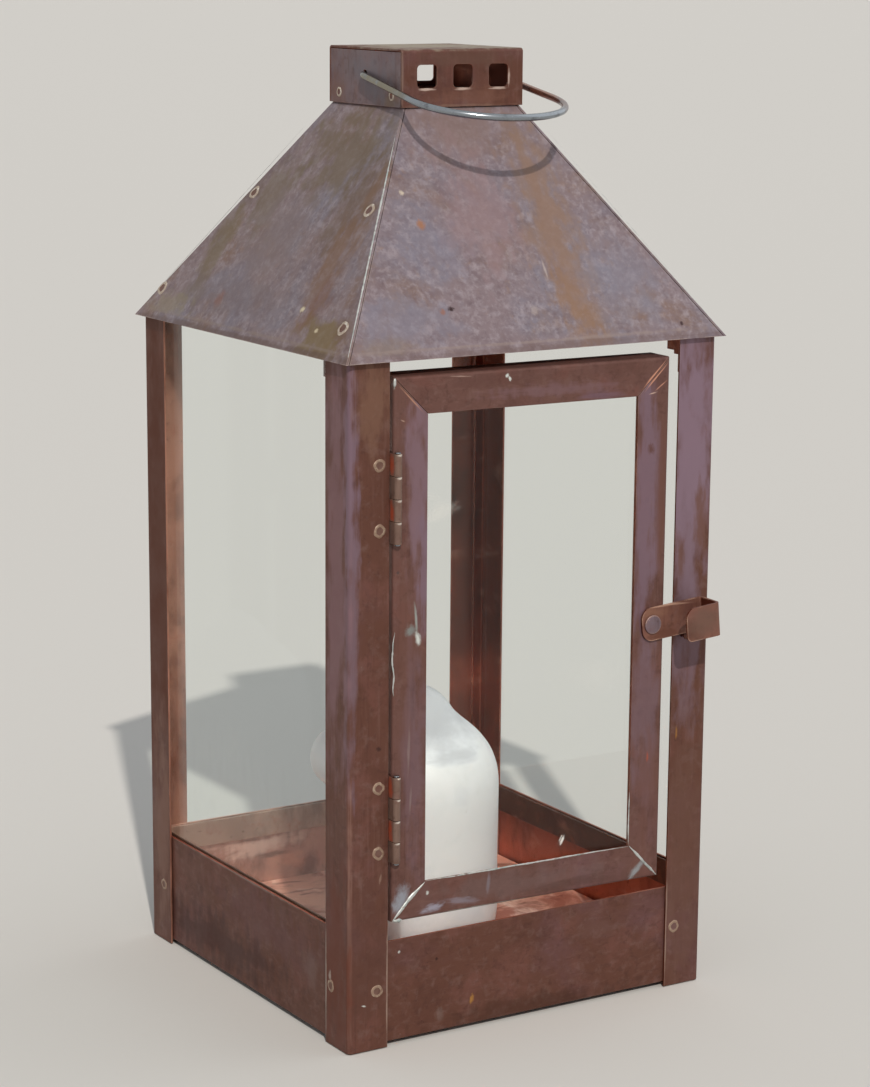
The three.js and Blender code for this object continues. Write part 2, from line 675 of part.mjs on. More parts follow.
function postLeaf(height) {
  const front = -SKIRT_OUT;
  const back = front + LEAF;
  const low = height - HINGE_LENGTH / 2;
  const high = height + HINGE_LENGTH / 2;
  const edge = LEAF_LEFT - FIT;
  const fingers = knuckles(height, 0).map(([from, to]) => (
    box([edge - FIT, front, from], [LEAF_RIGHT, back, to])
  ));
  const plate = box([edge - LEAF_WIDTH, front, low], [edge, back, high]);
  return hingeLeaf(height, 0, back, joined([plate, ...fingers]));
}

function doorLeaf(height) {
  const front = -SKIRT_OUT + LEAF + FIT;
  const back = front + LEAF_WIDTH - MEMBER_FOLD;
  const plate = box(
    [LEAF_LEFT, front, height - HINGE_LENGTH / 2],
    [LEAF_RIGHT, back, height + HINGE_LENGTH / 2],
  );
  return hingeLeaf(height, 1, front + LEAF, plate);
}

function hingePin(height) {
  const low = height - HINGE_LENGTH / 2;
  const high = height + HINGE_LENGTH / 2;
  return joined([
    bar(PIN_RADIUS, 'z', [HINGE_X, HINGE_Y, low - PIN_HEAD], high - low + 2 * PIN_HEAD, 16),
    bar(PIN_HEAD_RADIUS, 'z', [HINGE_X, HINGE_Y, high], PIN_HEAD, 16),
    bar(PIN_HEAD_RADIUS, 'z', [HINGE_X, HINGE_Y, low - PIN_HEAD], PIN_HEAD, 16),
  ]);
}

// latch: drawn level about its rivet, at the origin with its back at Y 0, then tilted and placed

const latchPlace = doorOpen.clone()
  .multiply(new THREE.Matrix4().makeTranslation(PIVOT_X, STRAP_BACK, PIVOT_HEIGHT))
  .multiply(new THREE.Matrix4().makeRotationY(-THREE.MathUtils.degToRad(STRAP_TILT)));

function latchStrap() {
  const right = STRAP_REACH;
  const bendX = right - STRAP_FOLD;
  const tabLeft = right - TAB_WIDTH;
  const front = -TAB_STAND_OFF;
  const inner = STRAP_FOLD - STRAP_SHEET;
  const section = [
    [-STRAP_TAIL, 0],
    ...arc(bendX, -STRAP_FOLD, STRAP_FOLD, 90, 0),
    ...arc(bendX, front + STRAP_FOLD, STRAP_FOLD, 0, -90),
    [tabLeft, front],
    [tabLeft, front + STRAP_SHEET],
    ...arc(bendX, front + STRAP_FOLD, inner, -90, 0),
    ...arc(bendX, -STRAP_FOLD, inner, 0, 90),
    [-STRAP_TAIL, -STRAP_SHEET],
  ];
  const centred = new THREE.Matrix4().makeTranslation(0, 0, -STRAP_HEIGHT / 2);
  const bent = extruded(section, STRAP_HEIGHT, centred);
  const half = STRAP_HEIGHT / 2;
  const strapDepth = [-STRAP_SHEET - FIT, FIT];
  const tabDepth = [front - FIT, front + STRAP_SHEET + FIT];
  // the stud's distance from the rivet sets where it enters the notch and where it ends
  const reach = Math.hypot(STUD_OUT, STUD_DROP);
  const room = STUD_RADIUS + HOLE_PLAY;
  const mouth = Math.sqrt(reach ** 2 - (half + STUD_RADIUS) ** 2) - room;
  const end = Math.sqrt(reach ** 2 - (half - NOTCH_DEPTH + STUD_RADIUS) ** 2) + room;
  const notch = box([mouth, strapDepth[0], -half - SHEET], [end, strapDepth[1], -half + NOTCH_DEPTH]);
  const tools = [
    cornerTool(-STRAP_TAIL, half, STRAP_CORNER, strapDepth),
    cornerTool(-STRAP_TAIL, -half, STRAP_CORNER, strapDepth),
    cornerTool(tabLeft, half, TAB_CORNER, tabDepth),
    cornerTool(tabLeft, -half, TAB_FOOT_CORNER, tabDepth),
    bar(RIVET_RADIUS + HOLE_PLAY, 'y', [0, strapDepth[0], 0], strapDepth[1] - strapDepth[0]),
    notch,
  ];
  return bent.subtract(joined(tools));
}

// takes off what lies outside a rounded corner at the left end of a strip
function cornerTool(x, z, radius, [front, back]) {
  const side = Math.sign(z);
  const reach = z + side * SHEET;
  const low = Math.min(z - side * radius, reach);
  const high = Math.max(z - side * radius, reach);
  const block = box([x - SHEET, front, low], [x + radius, back, high]);
  const start = [x + radius, front - SHEET, z - side * radius];
  return block.subtract(bar(radius, 'y', start, back - front + 2 * SHEET, 40));
}

// a low domed head in front of its back face, in pairs of radius and Y
function domedHead(radius, back, edge, height) {
  const dome = arc(0, 0, 1, 0, 90, 4).map(([out, up]) => [radius * out, back - edge - (height - edge) * up]);
  return [[radius, back], ...dome];
}

function latchRivet() {
  const headBack = STRAP_BACK - STRAP_SHEET - FIT;
  const tailFront = DOOR_FRONT + SHEET + FIT;
  const tail = tailFront + STRIP_SHEET;
  return turned([
    [0, tail], [RIVET_TAIL_RADIUS, tail], [RIVET_TAIL_RADIUS, tailFront], [RIVET_RADIUS, tailFront],
    [RIVET_RADIUS, headBack], ...domedHead(RIVET_HEAD_RADIUS, headBack, RIVET_EDGE, RIVET_HEAD),
  ], PIVOT_X, PIVOT_HEIGHT);
}

function keeperStud() {
  const tailFront = -POST_IN + FIT;
  const tail = tailFront + STRIP_SHEET;
  const headBack = -HALF - STUD_NECK;
  return turned([
    [0, tail], [STUD_HEAD_RADIUS, tail], [STUD_HEAD_RADIUS, tailFront], [STUD_RADIUS, tailFront],
    [STUD_RADIUS, headBack], ...domedHead(STUD_HEAD_RADIUS, headBack, STUD_EDGE, STUD_HEAD),
  ], STUD_X, STUD_HEIGHT, 24);
}

// candle

// how far the wax reaches from the axis, with the ball of the slumped lobe grown out of its side
function waxReach(radius, height, angle) {
  const turn = angle - THREE.MathUtils.degToRad(LOBE_TURN);
  const room = LOBE_RADIUS ** 2 - (height - LOBE_HEIGHT) ** 2 - (LOBE_OUT * Math.sin(turn)) ** 2;
  const ball = LOBE_OUT * Math.cos(turn) + Math.sqrt(Math.max(0, room));
  return radius + Math.max(0, ball - radius) * THREE.MathUtils.smoothstep(room, 0, LOBE_FADE);
}

// the drawn profile with more rings put between its points by a smooth curve
function candleRings() {
  const points = CANDLE_PROFILE.map(([r, z]) => new THREE.Vector3(r, 0, z));
  const curve = new THREE.CatmullRomCurve3(points, false, 'centripetal');
  return curve.getPoints(RINGS_BETWEEN * (CANDLE_PROFILE.length - 1)).map((p) => [p.x, p.z]);
}

function candle() {
  const rings = candleRings();
  const points = [];
  for (const [radius, height] of rings) {
    for (let i = 0; i < CANDLE_SIDES; i += 1) {
      const angle = (2 * Math.PI * i) / CANDLE_SIDES;
      const reach = waxReach(radius, height, angle);
      points.push(new THREE.Vector3(reach * Math.cos(angle), reach * Math.sin(angle), CANDLE_BASE + height));
    }
  }
  const bottom = points.push(new THREE.Vector3(0, 0, CANDLE_BASE)) - 1;
  const top = points.push(new THREE.Vector3(0, 0, CANDLE_TOP)) - 1;
  const last = (rings.length - 1) * CANDLE_SIDES;
  const faces = [];
  for (let i = 0; i < CANDLE_SIDES; i += 1) {
    const next = (i + 1) % CANDLE_SIDES;
    faces.push([bottom, next, i], [top, last + i, last + next]);
    for (let row = 0; row < last; row += CANDLE_SIDES) {
      faces.push([row + i, row + next, row + next + CANDLE_SIDES]);
      faces.push([row + i, row + next + CANDLE_SIDES, row + i + CANDLE_SIDES]);
    }
  }
  const body = facets(points.map((p) => p.add(new THREE.Vector3(CANDLE_X, CANDLE_Y, 0))), faces);
  const hole = [CANDLE_X, CANDLE_Y, CANDLE_TOP - WICK_BELOW];
  return body.subtract(bar(WICK_RADIUS + FIT, 'z', hole, 2 * WICK_BELOW, 16));
}

// straight in the wax, then leaning more and more towards its end
function wick() {
  const points = [new THREE.Vector3(CANDLE_X, CANDLE_Y, WICK_FOOT)];
  for (const part of [0, 1 / 3, 2 / 3, 1]) {
    const height = WICK_FOOT + WICK_BELOW + WICK_ABOVE * part;
    points.push(new THREE.Vector3(CANDLE_X + WICK_LEAN * part ** 2, CANDLE_Y, height));
  }
  return wire(points, WICK_RADIUS, 10, 10);
}

// the pieces

const studHole = bar(STUD_RADIUS + HOLE_PLAY, 'y', [STUD_X, -HALF - SHEET, STUD_HEIGHT], 3 * SHEET);

add('post_front_left', post(-1, -1), COPPER);
add('post_front_right', post(1, -1).subtract(studHole), COPPER);
add('post_rear_left', post(-1, 1), COPPER);
add('post_rear_right', post(1, 1), COPPER);
add('skirt_front', skirtEnd(-1, SKIRT_FRONT_TOP), COPPER);
add('skirt_rear', skirtEnd(1, SKIRT_TOP), COPPER);
add('skirt_left', skirtSide(-1), COPPER);
add('skirt_right', skirtSide(1), COPPER);
add('floor_pan', floorPan(), BRIGHT_COPPER);

const stripFront = -RETURN_IN + FIT;
const stripRear = STRIP_IN - FIT;
add('pane_strip_left', bottomStrip(-1, 0, stripFront, stripRear), COPPER);
add('pane_strip_right', bottomStrip(1, 0, stripFront, stripRear), COPPER);
add('pane_strip_rear', bottomStrip(0, 1, -RETURN_IN, RETURN_IN), COPPER);
add('pane_left', pane(-1, 0), GLASS);
add('pane_right', pane(1, 0), GLASS);
add('pane_rear', pane(0, 1), GLASS);
add('pane_top_strip_left', topStrip(-1, 0), COPPER);
add('pane_top_strip_right', topStrip(1, 0), COPPER);
add('pane_top_strip_rear', topStrip(0, 1), COPPER);

add('roof_front', roofEnd(-1), ROOF_COPPER);
add('roof_rear', roofEnd(1), ROOF_COPPER);
add('roof_left', roofSide(-1), ROOF_COPPER);
add('roof_right', roofSide(1), ROOF_COPPER);
add('roof_bracket_left', roofBracket(-1), COPPER);
add('roof_bracket_right', roofBracket(1), COPPER);
add('chimney_strap', chimneyStrap(), COPPER);
add('chimney_side_left', chimneySide(-1), COPPER);
add('chimney_side_right', chimneySide(1), COPPER);
add('carrying_bow', carryingBow(), STEEL);

for (const edge of Object.keys(DOOR_EDGES)) {
  add(`door_${edge}`, doorMember(edge), COPPER, doorOpen);
  add(`door_bead_${edge}`, doorBead(edge), COPPER, doorOpen);
}
add('door_pane', doorPane(), GLASS, doorOpen);

for (const [name, height] of [['upper', HINGE_UPPER], ['lower', HINGE_LOWER]]) {
  add(`hinge_${name}_post_leaf`, postLeaf(height), BRIGHT_COPPER);
  add(`hinge_${name}_door_leaf`, doorLeaf(height), BRIGHT_COPPER, doorOpen);
  add(`hinge_${name}_pin`, hingePin(height), STEEL);
}

add('latch_strap', latchStrap(), COPPER, latchPlace);
add('latch_rivet', latchRivet(), COPPER, doorOpen);
add('keeper_stud', keeperStud(), COPPER);
add('candle', candle(), WAX);
add('candle_wick', wick(), CHAR);

export default lantern;
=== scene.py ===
import math

import bmesh
import bpy
from mathutils import Matrix, Vector, noise


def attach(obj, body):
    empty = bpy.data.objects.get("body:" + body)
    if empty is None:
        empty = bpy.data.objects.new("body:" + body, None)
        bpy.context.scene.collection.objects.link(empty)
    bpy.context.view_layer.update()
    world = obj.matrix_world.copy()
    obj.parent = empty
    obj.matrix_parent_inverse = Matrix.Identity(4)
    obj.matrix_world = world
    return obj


# A square candle lantern in folded sheet copper: weathered brown body, washed-out roof, glass on
# three sides, a glazed door left ajar, a steel carrying bow and a slumped pillar candle.
# Sizes in the text are millimetres; MM turns them to the frame's metres.

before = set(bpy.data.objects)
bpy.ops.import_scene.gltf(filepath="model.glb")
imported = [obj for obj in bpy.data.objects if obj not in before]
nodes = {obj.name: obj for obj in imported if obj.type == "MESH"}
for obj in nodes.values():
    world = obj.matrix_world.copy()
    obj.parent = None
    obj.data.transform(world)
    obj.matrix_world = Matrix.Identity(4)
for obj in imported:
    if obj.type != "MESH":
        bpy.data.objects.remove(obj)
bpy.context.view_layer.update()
MM = 0.001

# sockets of the colour mixing node: its share, the colour below and the colour on top
SHARE, UNDER, OVER = 0, 6, 7

# how marks are drawn out on X, Y, Z, where less than 1 is longer: even, down a post or stile,
# along a rail or skirt, and as the short runs in which rain wears a stain through
EVEN = (1, 1, 1)
DOWN = (1, 1, 0.06)
ALONG = (0.3, 0.3, 1)
RUNS = (1, 1, 0.35)


# small helpers

def srgb(code):
    """A colour written as an sRGB hex value, in the linear values that a shader takes."""
    parts = [int(code[i:i + 2], 16) / 255 for i in (1, 3, 5)]
    return [p / 12.92 if p <= 0.04045 else ((p + 0.055) / 1.055) ** 2.4 for p in parts] + [1]


def per_metre(size):
    """How many marks of this size in mm lie along one metre, which is a texture's scale."""
    return 1000 / size


def add(tree, kind, inputs=None, **settings):
    """Adds one node with its settings. An input takes a value, a socket or a node, whose first
    output in use is meant."""
    made = tree.nodes.new(kind)
    for key, value in settings.items():
        setattr(made, key, value)
    for key, value in (inputs or {}).items():
        if isinstance(value, bpy.types.Node):
            value = next(socket for socket in value.outputs if socket.enabled)
        if isinstance(value, bpy.types.NodeSocket):
            tree.links.new(value, made.inputs[key])
        else:
            made.inputs[key].default_value = value
    return made


def blank(name):
    """A new material's empty node tree and the place on the object that its patterns follow."""
    material = bpy.data.materials.new(name)
    material.use_nodes = True
    tree = material.node_tree
    tree.nodes.clear()
    return material, tree, add(tree, "ShaderNodeTexCoord").outputs["Object"]


# each layer of clouds is read this much further off, in metres on X, Y, Z, so that no two are alike
APART = (1.7, 0.9, 0.4)


def weathered(tree, place, colour, layers):
    """Lays clouds of marks over a colour. Each layer has its colour, the marks' size in mm, the
    cloud values where they begin and are full, their strength, and how they are drawn out."""
    for index, (code, size, low, high, strength, drawn) in enumerate(layers):
        spread = add(tree, "ShaderNodeMapping", {
            "Vector": place, "Scale": drawn, "Location": [step * index for step in APART]})
        cloud = add(tree, "ShaderNodeTexNoise", {
            "Vector": spread, "Scale": per_metre(size), "Detail": 6.0, "Roughness": 0.62,
            "Distortion": 0.3})
        share = add(tree, "ShaderNodeMapRange", {
            "Value": cloud, "From Min": low, "From Max": high, "To Max": strength,
        }, interpolation_type="SMOOTHSTEP")
        colour = add(tree, "ShaderNodeMix", {
            SHARE: share, UNDER: colour, OVER: srgb(code)}, data_type="RGBA")
    return colour


RUN_WIDTH = 5       # mm
WIDE_STAIN = 20     # mm of reach
BREAK_UP = 1.6      # how far a cloud pushes a stain's edge in and out, as a share of its reach
CLEAR, FULL = 1.75, 1.05    # the broken distances where a stain ends and where it is full


def stained(tree, place, colour, stains, worn_through=0.8):
    """Lays stains, and any painted highlights, shade or reflections given as stains, over a colour.
    Each has its colour, its middle and its reach on X, Y, Z in mm, its turn about Y in degrees and
    its strength. A cloud as coarse as the stain is big breaks its edge, and a wide stain is also
    worn through in short runs."""
    if not stains:
        return colour
    runs = add(tree, "ShaderNodeMapping", {"Vector": place, "Scale": RUNS})
    thin = add(tree, "ShaderNodeTexNoise", {
        "Vector": runs, "Scale": per_metre(RUN_WIDTH), "Detail": 5.0})
    worn = add(tree, "ShaderNodeMapRange", {
        "Value": thin, "To Min": -worn_through, "To Max": worn_through})
    for index, (code, middle, reach, turn, strength) in enumerate(stains):
        near = add(tree, "ShaderNodeMapping", {
            "Vector": place, "Location": [MM * m for m in middle],
            "Rotation": [0, math.radians(turn), 0], "Scale": [MM * r for r in reach],
        }, vector_type="TEXTURE")
        away = add(tree, "ShaderNodeVectorMath", {0: near}, operation="LENGTH").outputs["Value"]
        ragged = add(tree, "ShaderNodeTexNoise", {
            "Vector": near, "W": 2.3 * index, "Scale": 1.8, "Detail": 7.0, "Roughness": 0.66,
        }, noise_dimensions="4D")
        broken = add(tree, "ShaderNodeMath", {
            0: ragged, 1: BREAK_UP, 2: away}, operation="MULTIPLY_ADD")
        if max(reach) > WIDE_STAIN:
            broken = add(tree, "ShaderNodeMath", {0: broken, 1: worn}, operation="ADD")
        share = add(tree, "ShaderNodeMapRange", {
            "Value": broken, "From Min": CLEAR, "From Max": FULL, "To Max": strength,
        }, interpolation_type="SMOOTHSTEP")
        colour = add(tree, "ShaderNodeMix", {
            SHARE: share, UNDER: colour, OVER: srgb(code)}, data_type="RGBA")
    return colour


def rubbed_edges(tree, place, radius, size):
    """From 0 to 1 where an outer edge is rubbed bare, within a radius in mm and in broken lengths
    of a size in mm."""
    rounded = add(tree, "ShaderNodeBevel", {"Radius": radius * MM}, samples=6)
    flat = add(tree, "ShaderNodeNewGeometry").outputs["Normal"]
    alike = add(tree, "ShaderNodeVectorMath", {0: rounded, 1: flat}, operation="DOT_PRODUCT")
    bend = add(tree, "ShaderNodeMapRange", {
        "Value": alike.outputs["Value"], "From Min": 0.985, "From Max": 0.86})
    patchy = add(tree, "ShaderNodeTexNoise", {
        "Vector": place, "Scale": per_metre(size), "Detail": 4.0})
    kept = add(tree, "ShaderNodeMapRange", {"Value": patchy, "From Min": 0.42, "From Max": 0.6})
    return add(tree, "ShaderNodeMath", {0: bend, 1: kept}, operation="MULTIPLY")


LANTERN_MIDDLE = (0, 0, 150)    # mm


def sheltered(tree, place):
    """From 0 to 1 on faces that look in towards the lantern's middle, which rain doesn't reach: 0
    where the middle lies 4 mm or less in front of the face, and 1 from 10 mm on."""
    facing = add(tree, "ShaderNodeTexCoord").outputs["Normal"]
    outward = add(tree, "ShaderNodeVectorMath", {
        0: place, 1: [MM * m for m in LANTERN_MIDDLE]}, operation="SUBTRACT")
    turned = add(tree, "ShaderNodeVectorMath", {0: outward, 1: facing}, operation="DOT_PRODUCT")
    return add(tree, "ShaderNodeMapRange", {
        "Value": turned.outputs["Value"], "From Min": -4 * MM, "From Max": -10 * MM})


def finished(tree, inputs, bumps, place):
    """Ends a material with its shader over its bumps, each with size and depth in mm, strength."""
    relief = None
    for size, depth, strength in bumps:
        cloud = add(tree, "ShaderNodeTexNoise", {
            "Vector": place, "Scale": per_metre(size), "Detail": 3.0})
        under = {"Normal": relief} if relief else {}
        relief = add(tree, "ShaderNodeBump", {
            "Height": cloud, "Distance": depth * MM, "Strength": strength, **under})
    if relief:
        inputs = {**inputs, "Normal": relief}
    surface = add(tree, "ShaderNodeBsdfPrincipled", inputs)
    add(tree, "ShaderNodeOutputMaterial", {"Surface": surface})


# finishes

def patinated_copper(name, base, layers, stains, bare="#b39684", rub=0.6, inside="#74412f",
                     inner_stains_and_reflections=(), metal=0.35, dull=0.46, worn_to=0.6):
    """Rolled sheet copper left outdoors: a brown oxide skin, violet bloom, rain runs and specks,
    pinkish metal where edges rub, and redder, shinier copper on the faces that look inwards. Some
    pieces' tables also paint highlights, shade and reflections on them. Oxide is porous, so it
    shines little. The eye reads thin metal under a soft, uneven skin. The bumps are the sheet's
    waves, its small dents and the oxide's grain. The grain is about 0.1 mm on the real sheet and
    is drawn 1.1 mm coarse, so that it shows."""
    material, tree, place = blank(name)
    colour = weathered(tree, place, srgb(base), layers)
    colour = stained(tree, place, colour, stains)
    inner = weathered(tree, place, srgb(inside), INSIDE_LAYERS)
    inner = stained(tree, place, inner, inner_stains_and_reflections)
    indoors = sheltered(tree, place)
    colour = add(tree, "ShaderNodeMix", {
        SHARE: indoors, UNDER: colour, OVER: inner.outputs[2]}, data_type="RGBA")
    worn = rubbed_edges(tree, place, worn_to, 7)
    worn = add(tree, "ShaderNodeMath", {0: worn, 1: rub}, operation="MULTIPLY")
    colour = add(tree, "ShaderNodeMix", {
        SHARE: worn, UNDER: colour, OVER: srgb(bare)}, data_type="RGBA")
    cloud = add(tree, "ShaderNodeTexNoise", {
        "Vector": place, "Scale": per_metre(14), "Detail": 6.0})
    rough = add(tree, "ShaderNodeMapRange", {
        "Value": cloud, "From Min": 0.3, "From Max": 0.7,
        "To Min": dull - 0.08, "To Max": dull + 0.12})
    brighter = add(tree, "ShaderNodeMath", {0: worn, 1: indoors}, operation="MAXIMUM")
    skin = add(tree, "ShaderNodeMapRange", {"Value": brighter, "To Min": metal, "To Max": 0.9})
    finished(tree, {
        "Base Color": colour, "Roughness": rough, "Metallic": skin, "Specular IOR Level": 0.22,
    }, [(60, 0.9, 0.25), (11, 0.1, 0.2), (1.1, 0.03, 0.3)], place)
    return material


# the copper under cover: soot, paler heat tints drawn along the sheet, red patches and dark specks
INSIDE_LAYERS = [
    ("#4f2d23", 24, 0.46, 0.68, 0.6, (1, 1, 0.5)),
    ("#c08a74", 16, 0.54, 0.72, 0.5, (0.5, 0.5, 1)),
    ("#a05a40", 9, 0.54, 0.74, 0.45, EVEN),
    ("#2f1c18", 3.5, 0.6, 0.74, 0.4, EVEN),
]


def brown_layers(drawn):
    """The body's brown skin: wide violet bloom, darker tea-coloured clouds, fine lines from rolling
    the sheet, mottling, dark pits and pale dust specks. Real rolling lines are 0.2 mm wide and pits
    and specks 0.5 mm. They are drawn two to ten times coarser, so that they show."""
    return [
        ("#6d5058", 70, 0.5, 0.72, 0.5, EVEN),
        ("#4c2f27", 26, 0.5, 0.74, 0.55, EVEN),
        ("#744c44", 17, 0.5, 0.68, 0.5, EVEN),
        ("#7a5c54", 2.6, 0.5, 0.76, 0.4, drawn),
        ("#4a2e27", 1.8, 0.52, 0.76, 0.4, drawn),
        ("#7c625c", 5, 0.5, 0.72, 0.34, EVEN),
        ("#4b302a", 4, 0.52, 0.7, 0.42, EVEN),
        ("#38231e", 2.8, 0.68, 0.74, 0.5, EVEN),
        ("#9a8072", 1.3, 0.7, 0.76, 0.5, EVEN),
    ]


VIOLET, MAUVE, CHIP, PALE = "#7c6673", "#77616a", "#cdd2cd", "#9c8578"
